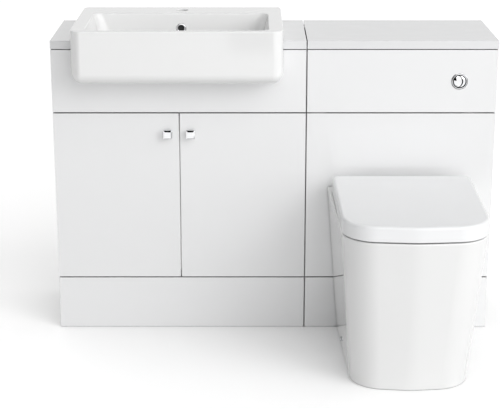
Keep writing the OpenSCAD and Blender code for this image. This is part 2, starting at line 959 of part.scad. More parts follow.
module waste_plug() {
    plug_z = waste_seat_z + waste_flange_t + fit;
    stem_z = guide_z - plug_travel - 4;
    color(chrome) {
        translate([basin_x, waste_y, plug_z])
            cylinder(h = plug_t, d = plug_d);
        translate([basin_x, waste_y, stem_z])
            cylinder(h = plug_z - stem_z + nick, d = plug_stem_d);
    }
}

module waste_seal() {
    color(rubber)
        pipe_z(basin_x, waste_y, neck_z - seal_t, neck_z, backnut_d, waste_tube_d + 2 * fit);
}

module waste_backnut() {
    color(chrome)
        pipe_z(basin_x, waste_y, neck_z - seal_t - backnut_t, neck_z - seal_t,
               backnut_d, waste_tube_d + 2 * fit);
}

module trap_body() {
    neck_foot = 4;
    branch_start = waste_y + trap_d / 2;
    branch_end = branch_start + trap_branch_len;
    branch_t = 5;
    color(plastic)
        difference() {
            union() {
                translate([basin_x, waste_y, waste_tail_z - neck_foot])
                    cylinder(h = trap_overlap + neck_foot, d = trap_neck_d);
                translate([basin_x, waste_y, trap_z + trap_h - nick])
                    cylinder(h = waste_tail_z - trap_z - trap_h, d = waste_tube_d);
                translate([basin_x, waste_y, trap_z])
                    cylinder(h = trap_h, d = trap_d);
                bar_y(basin_x, trap_outlet_z, waste_y, branch_end,
                      trap_outlet_d + 2 * branch_t);
            }
            translate([basin_x, waste_y, waste_tail_z])
                cylinder(h = trap_overlap + 1, d = waste_tube_d + 2 * fit);
            translate([basin_x, waste_y, trap_z])
                cylinder(h = waste_tail_z - trap_z + 1, d = waste_bore_d);
            translate([basin_x, waste_y, trap_z - 1])
                cylinder(h = trap_h - trap_t + 1, d = trap_d - 2 * trap_t);
            bar_y(basin_x, trap_outlet_z, waste_y, branch_start + trap_outlet_step,
                  trap_outlet_d - 2 * trap_outlet_t);
            bar_y(basin_x, trap_outlet_z, branch_start + trap_outlet_step,
                  branch_end + 1, trap_outlet_d + 2 * fit);
        }
}

module trap_bottle() {
    color(plastic)
        translate([basin_x, waste_y, trap_z - bottle_h])
            difference() {
                union() {
                    cylinder(h = bottle_h, d = bottle_d);
                    translate([0, 0, bottle_h - bottle_grip_h])
                        cylinder(h = bottle_grip_h, d = trap_grip_d);
                }
                translate([0, 0, trap_t])
                    cylinder(h = bottle_h, d = bottle_d - 2 * trap_t);
            }
}

// The pipe is a little narrower inside the trap's socket than on its free length
module trap_outlet_pipe() {
    branch_start = waste_y + trap_d / 2;
    seat_start = branch_start + trap_outlet_step + fit;
    color(plastic)
        difference() {
            union() {
                bar_y(basin_x, trap_outlet_z, seat_start, wall_y, trap_outlet_d - 2 * held_step);
                bar_y(basin_x, trap_outlet_z, branch_start + trap_branch_len + fit, wall_y,
                      trap_outlet_d);
            }
            bar_y(basin_x, trap_outlet_z, seat_start - nick, wall_y + nick,
                  trap_outlet_d - 2 * trap_outlet_t);
        }
}

// ---------- cistern ----------

module tank_plan(margin) {
    plan_rect(wc_x - tank_w / 2 + margin, wc_x + tank_w / 2 - margin,
              tank_back_y - tank_d + margin, tank_back_y - margin,
              tank_corner_r - margin, tank_corner_r - margin);
}

module cistern_tank() {
    color(plastic)
        difference() {
            translate([0, 0, tank_z])
                linear_extrude(tank_h)
                    tank_plan(0);
            translate([0, 0, tank_z + tank_wall])
                linear_extrude(tank_h)
                    tank_plan(tank_wall);
            translate([wc_x, tank_y, tank_z - 1])
                cylinder(h = tank_wall + 2, d = valve_tail_d + 2);
            translate([fill_x, tank_y, tank_z - 1])
                cylinder(h = tank_wall + 2, d = fill_tail_d + 1);
        }
}

module cistern_lid() {
    lid_z0 = tank_z + tank_h;
    color(plastic)
        difference() {
            union() {
                translate([0, 0, lid_z0])
                    linear_extrude(tank_lid_t)
                        tank_plan(0);
                translate([0, 0, lid_z0 - tank_lid_rim])
                    linear_extrude(tank_lid_rim + nick)
                        tank_plan(tank_wall + tank_lid_play);
            }
            translate([0, 0, lid_z0 - tank_lid_rim - 1])
                linear_extrude(tank_lid_rim + 1)
                    tank_plan(tank_wall + tank_lid_play + 3);
            translate([wc_x, tank_y, lid_z0 - 1])
                cylinder(h = tank_lid_t + 2, d = valve_gland_d + 2);
        }
}

module flush_valve_body() {
    floor_z = tank_z + tank_wall;
    cage_z = floor_z + 4;
    cage_top = cage_z + valve_cage_h;
    tail_bore = valve_tail_d - 2 * tail_wall;
    color(plastic) {
        pipe_z(wc_x, tank_y, tank_z - tail_len, floor_z + nick, valve_tail_d, tail_bore);
        pipe_z(wc_x, tank_y, floor_z, cage_z, valve_flange_d, tail_bore);
        pipe_z(wc_x, tank_y, cage_z - nick, cage_z + seat_ring_h, valve_tail_d - 2, tail_bore);
        difference() {
            pipe_z(wc_x, tank_y, cage_z - nick, cage_top, valve_d, valve_d - 2 * valve_wall);
            for (turn = [0, 90])
                translate([wc_x, tank_y, cage_z + 3])
                    rotate([0, 0, turn])
                        translate([-valve_d, -valve_d / 4, 0])
                            cube([2 * valve_d, valve_d / 2, valve_window_h]);
        }
        pipe_z(wc_x, tank_y, cage_top - 4, cage_top, valve_d - 2, core_tube_d + 0.8);
        pipe_z(wc_x, tank_y, cage_top - nick, valve_cap_z + nick,
               valve_head_d, valve_head_d - 2 * valve_wall);
        pipe_z(wc_x, tank_y, valve_cap_z, valve_cap_z + valve_cap_t, valve_head_d, 4);
        pipe_z(wc_x, tank_y, valve_cap_z + valve_cap_t - nick,
               valve_cap_z + valve_cap_t + valve_gland_h, valve_gland_d, 4);
    }
}

// Height at which the flush valve's core and seal start
function core_z() = tank_z + tank_wall + 4 + seat_ring_h + fit;

module flush_valve_core() {
    disc_z = core_z() + core_seal_t;
    core_h = valve_cap_z - core_head_room - valve_lift - disc_z;
    color(plastic) {
        pipe_z(wc_x, tank_y, disc_z, disc_z + core_disc_t, core_disc_d,
               core_tube_d - 2 * core_tube_wall);
        pipe_z(wc_x, tank_y, disc_z, disc_z + core_h, core_tube_d,
               core_tube_d - 2 * core_tube_wall);
    }
}

module flush_valve_seal() {
    color(rubber)
        pipe_z(wc_x, tank_y, core_z(), core_z() + core_seal_t, core_seal_d, 40);
}

module cistern_nuts() {
    color(plastic) {
        pipe_z(wc_x, tank_y, tank_z - nut_t, tank_z, valve_tail_d + 20, valve_tail_d + 2 * fit);
        pipe_z(fill_x, tank_y, tank_z - nut_t, tank_z, fill_tail_d + 13, fill_tail_d + 2 * fit);
    }
}

module fill_valve() {
    floor_z = tank_z + tank_wall;
    color(plastic)
        difference() {
            union() {
                translate([fill_x, tank_y, tank_z - tail_len])
                    cylinder(h = tail_len + tank_wall + nick, d = fill_tail_d - 2 * held_step);
                translate([fill_x, tank_y, tank_z - tail_len])
                    cylinder(h = tail_len - nut_t - fit, d = fill_tail_d);
                translate([fill_x, tank_y, floor_z])
                    cylinder(h = 4, d = fill_flange_d);
                translate([fill_x, tank_y, floor_z])
                    cylinder(h = fill_head_z - floor_z + nick, d = fill_d);
                translate([fill_x, tank_y, fill_head_z])
                    cylinder(h = fill_head_h, d = fill_head_d);
            }
            translate([fill_x, tank_y, tank_z - tail_len - 1])
                cylinder(h = fill_head_z - tank_z + tail_len, d = 10);
        }
}

module float_cup() {
    color(seat_colour)
        difference() {
            pipe_z(fill_x, tank_y, float_z, float_z + float_h, float_d, fill_d + 2 * fit);
            pipe_z(fill_x, tank_y, float_z - 1, float_z + float_h - 3, float_d - 6, fill_d + 8);
        }
}

// Bent pipe along Z, round a quarter bend and on along Y
module flush_pipe_bar(d, past) {
    translate([wc_x, tank_y, inlet_z + pipe_bend_r])
        cylinder(h = pipe_top_z - inlet_z - pipe_bend_r + past, d = d);
    translate([wc_x, tank_y - pipe_bend_r, inlet_z + pipe_bend_r])
        rotate([-90, 0, 90])
            rotate_extrude(angle = 90)
                translate([pipe_bend_r, 0])
                    circle(d = d);
    bar_y(wc_x, inlet_z, pipe_end_y - past, tank_y - pipe_bend_r, d);
}

module flush_pipe() {
    color(plastic)
        difference() {
            flush_pipe_bar(pipe_d, 0);
            flush_pipe_bar(pipe_d - 2 * pipe_wall, 1);
        }
}

module flush_pipe_seal() {
    seal_y = face_y - inlet_socket_len + 12;
    color(rubber)
        pipe_y(wc_x, inlet_z, seal_y, face_y - 3, inlet_socket_d - seal_play,
               pipe_d + seal_play);
}

module flush_cable() {
    color(rubber)
        cable(smooth_route(cable_route, cable_steps), cable_r, cable_sides,
              [0, 1, 0], [0, 0, -1], [1, 0, 1]);
}

// ---------- flush button ----------

module button_bezel() {
    color(chrome) {
        pipe_y(button_x, button_z, face_y - bezel_t, face_y, bezel_d, bezel_bore_d);
        pipe_y(button_x, button_z, face_y - nick, face_y + sleeve_len, sleeve_d, bezel_bore_d);
    }
}

// The whole disc of the two button pieces, between two depths
module button_disc(y0, y1) {
    bar_y(button_x, button_z, y0, y1, button_d);
}

// The round edge between the two pieces, moved by a share of their gap
module button_divide(y0, y1, grow) {
    bar_y(button_x - button_split, button_z, y0, y1, button_d + 2 * grow);
}

module full_flush_button() {
    y0 = face_y - bezel_t - button_proud;
    color(chrome)
        union() {
            intersection() {
                button_disc(y0, y0 + button_cap_t);
                button_divide(y0 - 1, y0 + button_cap_t + 1, -fit / 2);
            }
            bar_y(button_x - button_split / 2, button_z, y0 + button_cap_t - nick, button_leg_y,
                  button_leg_d);
        }
}

module half_flush_button() {
    y0 = face_y - bezel_t - button_proud;
    leg_x = button_x + button_d / 2 - button_split / 2;
    color(chrome)
        union() {
            difference() {
                button_disc(y0, y0 + button_cap_t);
                button_divide(y0 - 1, y0 + button_cap_t + 1, fit / 2);
            }
            bar_y(leg_x, button_z, y0 + button_cap_t - nick, button_leg_y, button_split / 2);
        }
}

module button_housing() {
    color(plastic)
        difference() {
            union() {
                bar_y(button_x, button_z, housing_nut_y, housing_nut_y + housing_len, housing_d);
                bar_y(button_x, button_z, housing_nut_y + housing_len - nick,
                      housing_nut_y + housing_len + gland_len, gland_d);
            }
            bar_y(button_x, button_z, housing_nut_y - 1, face_y + sleeve_len + fit,
                  sleeve_d + 2 * fit);
            bar_y(button_x, button_z, housing_nut_y - 1,
                  housing_nut_y + housing_len - housing_wall, button_d + 2 * fit);
            bar_y(button_x, button_z, housing_nut_y, housing_nut_y + housing_len + gland_len + 1,
                  4);
        }
}

// ---------- toilet ----------

module pan_outer() {
    hull() {
        rounded_slice(pan_h - slab, pan_rear_w / 2, pan_front_w / 2, face_y, pan_front_y,
                      pan_corner_r, pan_bulge, hull_fn * 2);
        rounded_slice(0, foot_rear_w / 2, foot_front_w / 2, face_y, foot_front_y,
                      foot_corner_r, pan_bulge, hull_fn * 2);
    }
}

module pan_hollow() {
    t = ceramic_t;
    hull() {
        rounded_slice(pan_h - deck_t - slab, pan_rear_w / 2 - t - 1, pan_front_w / 2 - t - 1,
                      face_y - t, pan_front_y + t + 3, pan_corner_r - t, pan_bulge, hull_fn);
        rounded_slice(-slab, foot_rear_w / 2 - t, foot_front_w / 2 - t,
                      face_y - t, foot_front_y + t, foot_corner_r - t, pan_bulge, hull_fn);
    }
}

// One level of the bowl, grown by a wall. A level holds its height, its half width, its rear and
// front edges, and the radii of its rear and front corners.
module bowl_slice(level, wall, drop) {
    for (side = [-1, 1]) {
        translate([wc_x + side * (level[1] + wall - level[4]), level[2] + wall - level[4],
                   level[0] - drop])
            cylinder(h = slab, r = level[4], $fn = hull_fn);
        translate([wc_x + side * (level[1] + wall - level[5]), level[3] - wall + level[5],
                   level[0] - drop])
            cylinder(h = slab, r = level[5], $fn = hull_fn);
    }
}

module bowl_storey(upper, lower, wall) {
    hull() {
        bowl_slice(upper, wall, 0);
        bowl_slice(lower, wall, wall * 0.8);
    }
}

module bowl_body(wall) {
    bowl_storey(bowl_mouth, bowl_waist, wall);
    bowl_storey(bowl_waist, bowl_sump, wall);
}

// Straight round way between two points in the middle plane of the toilet, run on at both ends
module way_link(y0, z0, y1, z1, r, past) {
    length = sqrt(pow(y1 - y0, 2) + pow(z1 - z0, 2));
    translate([wc_x, y0, z0])
        rotate([-atan2(y1 - y0, z1 - z0), 0, 0])
            translate([0, 0, -past])
                cylinder(h = length + 2 * past, r = r);
}

// Up from the sump to the crown and down again to the outlet
module trapway(grow) {
    r = trapway_r + grow;
    way_link(sump_y, sump_z, crown_y, crown_z, r, trapway_past + grow);
    way_link(crown_y, crown_z, face_y - trapway_end, outlet_z, r - trapway_step,
             trapway_past + grow);
}

module toilet_pan() {
    color(ceramic_colour)
        difference() {
            union() {
                intersection() {
                    pan_outer();
                    union() {
                        difference() {
                            pan_outer();
                            pan_hollow();
                        }
                        bowl_body(bowl_wall);
                        trapway(trapway_wall);
                        bar_y(wc_x, inlet_z, bowl_back_y - inlet_reach, face_y, inlet_boss_d);
                        bar_y(wc_x, outlet_z, face_y - 40, face_y, outlet_d);
                    }
                }
                bar_y(wc_x, outlet_z, face_y - 1, face_y + outlet_len, outlet_d);
            }
            bowl_body(0);
            trapway(0);
            bar_y(wc_x, outlet_z, face_y - 22, face_y + outlet_len + 1, outlet_bore_d);
            bar_y(wc_x, inlet_z, bowl_back_y - inlet_reach - 10, face_y + 1, inlet_bore_d);
            bar_y(wc_x, inlet_z, face_y - inlet_socket_len, face_y + 1, inlet_socket_d);
            for (side = [-1, 1]) {
                translate([wc_x + side * hinge_spacing / 2, hinge_y, pan_h - deck_t - 5])
                    cylinder(h = deck_t + 6, d = seat_bolt_hole_d);
                bar_x(wc_x + (side > 0 ? fixing_clear : -foot_rear_w / 2 - 20),
                      wc_x + (side > 0 ? foot_rear_w / 2 + 20 : -fixing_clear),
                      fixing_y, fixing_z, fixing_bolt_d + 1);
            }
        }
}

module pan_connector() {
    socket_y = face_y + outlet_len - connector_socket_len + fixed_front_t + 2;
    shoulder_y = face_y + outlet_len + 2;
    color(seat_colour)
        difference() {
            union() {
                bar_y(wc_x, outlet_z, socket_y, shoulder_y + 6, connector_socket_d);
                bar_y(wc_x, outlet_z, shoulder_y, wall_y, connector_d);
            }
            bar_y(wc_x, outlet_z, socket_y - 1, shoulder_y, outlet_d + 2 * fit);
            bar_y(wc_x, outlet_z, shoulder_y - 1, wall_y + 1, outlet_bore_d);
        }
}

// Half the width of the pan's outside at the fixings
function foot_half() =
    let (share = (face_y - fixing_y) / (face_y - foot_front_y - foot_corner_r),
         floor_half = (foot_rear_w + (foot_front_w - foot_rear_w) * share) / 2,
         rim_half = (pan_rear_w + (pan_front_w - pan_rear_w) * share) / 2)
    floor_half + (rim_half - floor_half) * fixing_z / pan_h;

// A floor bracket, a bolt through the pan's side and its cap, on each side
module pan_fixings() {
    bracket_x = foot_half() - ceramic_t - bracket_gap;
    cap_x = foot_half() + fixing_cap_gap;
    color(steel)
        for (side = [-1, 1])
            translate([wc_x, fixing_y - bracket_w / 2, 0])
                mirror([side < 0 ? 1 : 0, 0, 0]) {
                    translate([bracket_x - bracket_d, 0, 0])
                        cube([bracket_d, bracket_w, bracket_t]);
                    difference() {
                        translate([bracket_x - bracket_t, 0, 0])
                            cube([bracket_t, bracket_w, bracket_h]);
                        bar_x(bracket_x - bracket_t - 1, bracket_x + 1, bracket_w / 2, fixing_z,
                              fixing_bolt_d);
                    }
                    bar_x(bracket_x - bracket_t - 4, foot_half() - 1, bracket_w / 2, fixing_z,
                          fixing_bolt_d);
                    bar_x(cap_x, cap_x + fixing_cap_t, bracket_w / 2, fixing_z, fixing_cap_d);
                    bar_x(foot_half() - 1 - nick, foot_half() + 1, bracket_w / 2, fixing_z,
                          fixing_bolt_d);
                }
}

// Two chromed posts on the deck, each with the pin that the seat and the lid turn on
module seat_hinge_posts() {
    color(chrome)
        for (side = [-1, 1]) {
            post_x = wc_x + side * hinge_spacing / 2;
            translate([post_x, hinge_y, pan_h])
                cylinder(h = post_base_t, d = post_base_d);
            translate([post_x, hinge_y, pan_h])
                cylinder(h = hinge_axis_z - pan_h, d = post_d);
            bar_x(post_x - post_d / 2, post_x + post_d / 2, hinge_y, hinge_axis_z, post_d);
            bar_x(post_x - pin_reach, post_x + pin_reach, hinge_y, hinge_axis_z, hinge_pin_d);
        }
}

module seat_bolts() {
    nut_z = pan_h - deck_t - wing_nut_t;
    color(steel)
        for (side = [-1, 1])
            translate([wc_x + side * hinge_spacing / 2, hinge_y, 0]) {
                translate([0, 0, pan_h - seat_bolt_len])
                    cylinder(h = seat_bolt_len, d = seat_bolt_d);
                translate([0, 0, nut_z])
                    cylinder(h = wing_nut_t, d = wing_nut_d);
            }
}

// Clear space round the two posts, from the seat's inner lugs outwards
module post_notches(inner, outer, y_front, z0, z1) {
    for (side = [-1, 1])
        translate([wc_x, 0, 0])
            mirror([side < 0 ? 1 : 0, 0, 0])
                translate([hinge_spacing / 2 - inner, y_front, z0])
                    cube([inner + outer, 200, z1 - z0]);
}

module toilet_seat() {
    inner_lug = post_d / 2 + post_play;
    outer_clear = pin_reach + 4;
    notch_reach = 17;
    color(seat_colour)
        difference() {
            union() {
                translate([0, 0, seat_z])
                    linear_extrude(seat_t)
                        seat_outline(lid_rear_w / 2 - seat_inset, lid_front_w / 2 - seat_inset,
                                     hinge_y, pan_front_y + seat_inset, lid_corner_r - seat_inset);
                bar_x(wc_x - hinge_spacing / 2 + inner_lug, wc_x + hinge_spacing / 2 - inner_lug,
                      hinge_y, hinge_axis_z, 2 * seat_boss_r);
            }
            translate([0, 0, seat_z - 1])
                linear_extrude(seat_t + 2)
                    seat_hole();
            post_notches(inner_lug, outer_clear, hinge_y - notch_reach, seat_z - 1, seat_top_z + 4);
            bar_x(wc_x - hinge_spacing, wc_x + hinge_spacing, hinge_y, hinge_axis_z,
                  hinge_pin_d + 2 * hinge_pin_play);
        }
}

// The opening of the seat in plan
module seat_hole() {
    half = lid_front_w / 2 - seat_side_ring;
    y_front = pan_front_y + seat_front_ring;
    y_back = bowl_back_y - 26;
    front_r = 92;
    back_r = 70;
    hull()
        for (side = [-1, 1]) {
            translate([wc_x + side * (half - front_r), y_front + front_r])
                circle(front_r);
            translate([wc_x + side * (half - back_r), y_back - back_r])
                circle(back_r);
        }
}

module seat_buffers() {
    color(rubber)
        for (side = [-1, 1], y = [bowl_back_y - 60, bowl_open_front_y + 90])
            translate([wc_x + side * (pan_front_w / 2 - rim_w / 2 - 4), y, pan_h + fit])
                cylinder(h = seat_z - pan_h - fit, d = buffer_pad_d);
}

module toilet_lid() {
    clear_half = hinge_spacing / 2 + pin_reach + 6;
    color(seat_colour)
        difference() {
            union() {
                difference() {
                    translate([0, 0, lid_z])
                        linear_extrude(lid_top_z - lid_z)
                            seat_outline(lid_rear_w / 2, lid_front_w / 2, lid_rear_y, pan_front_y,
                                         lid_corner_r);
                    translate([0, 0, lid_z - 1])
                        linear_extrude(lid_under_z - lid_z + 1)
                            seat_outline(lid_rear_w / 2 - lid_skirt_t,
                                         lid_front_w / 2 - lid_skirt_t,
                                         lid_rear_y - lid_skirt_t, pan_front_y + lid_skirt_t,
                                         lid_corner_r - lid_skirt_t);
                    translate([wc_x - clear_half, lid_rear_y - lid_skirt_t - 1, lid_z - 1])
                        cube([2 * clear_half, lid_skirt_t + 2, lid_under_z - lid_z + 1]);
                }
                for (side = [-1, 1])
                    lid_lug(side);
                lid_pads();
            }
            bar_x(wc_x - hinge_spacing, wc_x + hinge_spacing, hinge_y, hinge_axis_z,
                  hinge_pin_d + 2 * hinge_pin_play);
        }
}

// A lug on the underside of the lid that takes the outer end of a pin
module lid_lug(side) {
    x0 = hinge_spacing / 2 + post_d / 2 + post_play;
    x1 = hinge_spacing / 2 + pin_reach;
    translate([wc_x, 0, 0])
        mirror([side < 0 ? 1 : 0, 0, 0]) {
            bar_x(x0, x1, hinge_y, hinge_axis_z, 2 * lug_r);
            translate([x0, hinge_y - lug_r, hinge_axis_z])
                cube([x1 - x0, 2 * lug_r, lid_under_z - hinge_axis_z + 1]);
        }
}

// Stops under the lid that rest on the seat
module lid_pads() {
    for (side = [-1, 1], y = [bowl_back_y - 60, bowl_open_front_y + 90])
        translate([wc_x + side * (lid_front_w / 2 - seat_side_ring / 2 - seat_inset), y,
                   seat_top_z + fit])
            cylinder(h = lid_under_z - seat_top_z - fit + 1, d = lid_pad_d);
}

// ---------- drawing ----------

basin_unit_left_side();
basin_unit_right_side();
basin_unit_base();
basin_unit_wall_rail();
basin_unit_front_rail();
basin_fascia();
basin_plinth();
basin_worktop();
wc_unit_left_side();
wc_unit_right_side();
wc_unit_wall_rail();
wc_unit_floor_rail();
wc_fascia();
wc_access_panel();
wc_plinth();
wc_worktop();
panel_clips();
left_door();
left_knob();
left_knob_screw();
left_hinge_cups();
left_hinge_arms();
right_door();
right_knob();
right_knob_screw();
right_hinge_cups();
right_hinge_arms();
door_buffers();
basin();
overflow_ring();
basin_waste();
waste_plug();
waste_seal();
waste_backnut();
trap_body();
trap_bottle();
trap_outlet_pipe();
cistern_tank();
cistern_lid();
flush_valve_body();
flush_valve_core();
flush_valve_seal();
cistern_nuts();
fill_valve();
float_cup();
flush_pipe();
flush_pipe_seal();
flush_cable();
button_bezel();
full_flush_button();
half_flush_button();
button_housing();
toilet_pan();
pan_connector();
pan_fixings();
seat_hinge_posts();
seat_bolts();
toilet_seat();
seat_buffers();
toilet_lid();
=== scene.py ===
"""Visual model of a toilet and basin combination unit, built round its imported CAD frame.

Sizes are in millimetres until a mesh is made. X runs along the wall, Y from the room to the wall,
and Z up, as in the CAD, so every piece goes where the CAD says.
"""

import logging
import math
from dataclasses import dataclass, field, replace
from enum import Enum

import bmesh
import bpy
from mathutils import Matrix, Vector


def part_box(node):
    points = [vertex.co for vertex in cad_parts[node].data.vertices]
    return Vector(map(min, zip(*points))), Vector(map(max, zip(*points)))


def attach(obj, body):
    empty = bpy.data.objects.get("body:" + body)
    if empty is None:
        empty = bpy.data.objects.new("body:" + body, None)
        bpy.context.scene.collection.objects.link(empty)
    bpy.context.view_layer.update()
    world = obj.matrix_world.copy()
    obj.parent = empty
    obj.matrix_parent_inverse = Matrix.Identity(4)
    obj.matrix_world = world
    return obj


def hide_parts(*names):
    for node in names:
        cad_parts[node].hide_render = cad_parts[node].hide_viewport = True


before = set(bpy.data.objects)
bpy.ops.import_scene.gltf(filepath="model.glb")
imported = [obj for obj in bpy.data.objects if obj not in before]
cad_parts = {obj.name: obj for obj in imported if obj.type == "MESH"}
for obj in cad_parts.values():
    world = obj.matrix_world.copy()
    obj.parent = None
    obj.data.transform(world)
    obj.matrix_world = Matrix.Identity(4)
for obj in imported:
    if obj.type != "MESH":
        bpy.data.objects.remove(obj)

log = logging.getLogger("unit")

Point = tuple[float, float, float]
Circle = tuple[float, float, float]
Colour = tuple[float, float, float]
Profile = list[tuple[float, float]]
Rings = list[list[Point]]
Piece = bpy.types.Object
Socket = bpy.types.NodeSocket
Wires = dict[str | int, object]
MM = 0.001
SEAM = 1e-6
COAT_ROUGHNESS = 0.06
NOISE_ROUGHNESS = 0.55
GLOSS_SHARE = 0.31
PAINTED_SHADE_TONE = (0.02, 0.02, 0.021)
FLAT_ANGLE = math.radians(0.4)


class Body(Enum):
    """The bodies of the CAD model that a piece can ride on."""

    ROOT = "root"
    LEFT_DOOR = "left_door"
    RIGHT_DOOR = "right_door"
    LID = "lid"
    SEAT = "seat"
    FULL_BUTTON = "full_button"
    HALF_BUTTON = "half_button"
    VALVE_CORE = "valve_core"
    FLOAT = "float"
    PLUG = "plug"


class Axis(Enum):
    """The direction in which a turned piece or a bar runs."""

    X = "x"
    Y = "y"
    Z = "z"


class Cut(Enum):
    """How one solid works on another."""

    AWAY = "DIFFERENCE"
    JOIN = "UNION"
    SHARE = "INTERSECT"


class Size(Enum):
    """Kinds of named input on a geometry node tree."""

    LENGTH = "NodeSocketFloat"
    COUNT = "NodeSocketInt"
    PLACE = "NodeSocketVector"
    FINISH = "NodeSocketMaterial"


def put(name: str, data: bpy.types.ID) -> Piece:
    """Adds an object to the scene.

    Args:
        name: its name.
        data: its mesh, lamp or camera.

    Returns:
        The object.
    """
    piece = bpy.data.objects.new(name, data)
    bpy.context.scene.collection.objects.link(piece)
    return piece


def grey(tone: float) -> tuple[float, float, float, float]:
    """Gives a grey as a colour."""
    return (tone, tone, tone, 1.0)


class Wiring:
    """A node tree in the making, whose nodes are added together with their wires."""

    def __init__(self, tree: bpy.types.NodeTree) -> None:
        """Takes up the tree to which the nodes are added."""
        self.tree = tree

    @classmethod
    def blank(cls, owner: bpy.types.Material | bpy.types.World) -> "Wiring":
        """Starts on a new material or world, whose own nodes are taken out.

        Args:
            owner: the material or the world.

        Returns:
            Its wiring.
        """
        owner.use_nodes = True
        owner.node_tree.nodes.clear()
        return cls(owner.node_tree)

    def wire(self, node: bpy.types.Node, wires: Wires) -> bpy.types.Node:
        """Fills a node's inputs.

        Args:
            node: the node.
            wires: for each input, the socket it comes from or its value.

        Returns:
            The same node.
        """
        for key, value in wires.items():
            if isinstance(value, Socket):
                self.tree.links.new(value, node.inputs[key])
            else:
                node.inputs[key].default_value = value
        return node

    def add(self, kind: str, wires: Wires, **settings: object) -> bpy.types.Node:
        """Adds a node with its own settings, and wires it.

        Args:
            kind: the node's type.
            wires: what its inputs get.
            settings: the node's own settings.

        Returns:
            The node.
        """
        made = self.tree.nodes.new(kind)
        for name, value in settings.items():
            setattr(made, name, value)
        return self.wire(made, wires)

    def calc(self, how: str, first: Socket, second: Socket | float) -> Socket:
        """Adds a calculation on two values, and gives its result."""
        return self.add("ShaderNodeMath", {0: first, 1: second}, operation=how).outputs[0]

    def vector(self, **parts: Socket | float) -> Socket:
        """Adds a vector from its X, Y and Z, and gives its socket."""
        return self.add("ShaderNodeCombineXYZ", parts).outputs[0]

    def spread(self, value: Socket, low: float, high: float, start: float = 0.0,
               end: float = 1.0) -> Socket:
        """Stretches a value from one range to another.

        Args:
            value: the value.
            low: where its range starts.
            high: where its range ends.
            start: what it becomes at the low end.
            end: what it becomes at the high end.

        Returns:
            The socket with the new value.
        """
        return self.add("ShaderNodeMapRange", {
            "Value": value, "From Min": low, "From Max": high, "To Min": start,
            "To Max": end}).outputs["Result"]

    def blend(self, share: Socket, first: Colour | Socket, second: Colour | Socket) -> Socket:
        """Adds a mix of two colours.

        Args:
            share: 0 where the first colour shows, 1 where the second does.
            first: the first colour, or a socket with it.
            second: the second one.

        Returns:
            The socket with the mixed colour.
        """
        first, second = (c if isinstance(c, Socket) else (*c, 1.0) for c in (first, second))
        return self.add("ShaderNodeMix", {0: share, 6: first, 7: second},
                        data_type="RGBA").outputs[2]

    def end(self, kind: str, share: Socket, first: Socket, second: Socket) -> None:
        """Ends the tree with a mix of two shaders.

        Args:
            kind: the output node's type.
            share: 0 where the first shader shows, 1 where the second does.
            first: the first shader.
            second: the second shader.
        """
        pick = self.add("ShaderNodeMixShader", {0: share, 1: first, 2: second})
        self.add(kind, {"Surface": pick.outputs[0]})


# ---------- finishes ----------


@dataclass(frozen=True)
class Finish:
    """A surface finish: two close tones in a soft mottle, a fine grain, and uneven gloss.

    Lengths of the pattern are in millimetres, and the two roughness values are its shiniest and
    its dullest places. Where joint is above 0, shade is painted into the colour inside gaps
    narrower than that, darkening it by ambient occlusion: shade gives how closed in a spot is
    where the painted shade is darkest, and where it starts.
    """

    name: str
    slot: str
    light: Colour
    dark: Colour
    rough: tuple[float, float]
    mottle: float
    grain: float
    relief: float
    stretch: Point = (1.0, 1.0, 1.0)
    metallic: float = 0.0
    coat: float = 0.0
    ior: float = 1.5
    bump: float = 0.25
    joint: float = 0.0
    shade: tuple[float, float] = (0.12, 0.6)

    def material(self) -> bpy.types.Material:
        """Builds the finish's material, or finds it if it is already there.

        Returns:
            The node material.
        """
        found = bpy.data.materials.get(self.name)
        if found is not None:
            return found
        made = bpy.data.materials.new(self.name)
        made.use_nodes = True
        net = Wiring(made.node_tree)
        here = net.add("ShaderNodeTexCoord", {}).outputs["Object"]
        place = net.add("ShaderNodeMapping",
                        {"Vector": here, "Scale": self.stretch}).outputs["Vector"]
        tone = net.blend(self.noise(net, place, self.mottle, 3.0), self.dark, self.light)
        fine = self.noise(net, place, self.grain, 5.0)
        gloss = net.spread(self.noise(net, place, self.mottle * GLOSS_SHARE, 2.0), 0.25, 0.75,
                           *self.rough)
        bump = net.add("ShaderNodeBump", {"Strength": self.bump, "Distance": self.relief * MM,
                                          "Height": self.height(net, place, fine)})
        net.wire(made.node_tree.nodes["Principled BSDF"], {
            "Base Color": self.painted_joint_shade(net, tone), "Roughness": gloss,
            "Normal": bump.outputs["Normal"], "Metallic": self.metallic, "IOR": self.ior,
            "Coat Weight": self.coat, "Coat Roughness": COAT_ROUGHNESS, "Coat IOR": self.ior})
        return made

    def noise(self, net: Wiring, place: Socket, grain: float, detail: float) -> Socket:
        """Adds a noise pattern whose spots are about one grain across.

        Args:
            net: the material's nodes.
            place: where the pattern is read.
            grain: size of the spots in millimetres.
            detail: how many finer layers the noise has.

        Returns:
            The socket with the pattern's value.
        """
        return net.add("ShaderNodeTexNoise", {
            "Vector": place, "Scale": 1.0 / (grain * MM), "Detail": detail,
            "Roughness": NOISE_ROUGHNESS}).outputs["Fac"]

    def painted_joint_shade(self, net: Wiring, tone: Socket) -> Socket:
        """Paints shade into the colour deep inside narrow joints.

        Args:
            net: the material's nodes.
            tone: the finish's colour.

        Returns:
            The socket with the colour to use.
        """
        if self.joint <= 0:
            return tone
        # Painted shade: ambient occlusion blends the colour towards a near-black tone in closed-in
        # spots.
        shade = net.add("ShaderNodeAmbientOcclusion", {"Distance": self.joint * MM}, samples=6)
        open_air = net.spread(shade.outputs["AO"], *self.shade)
        return net.blend(open_air, PAINTED_SHADE_TONE, tone)

    def height(self, net: Wiring, place: Socket, fine: Socket) -> Socket:
        """Gives the relief pattern; a plain finish uses its fine grain as it is."""
        return fine


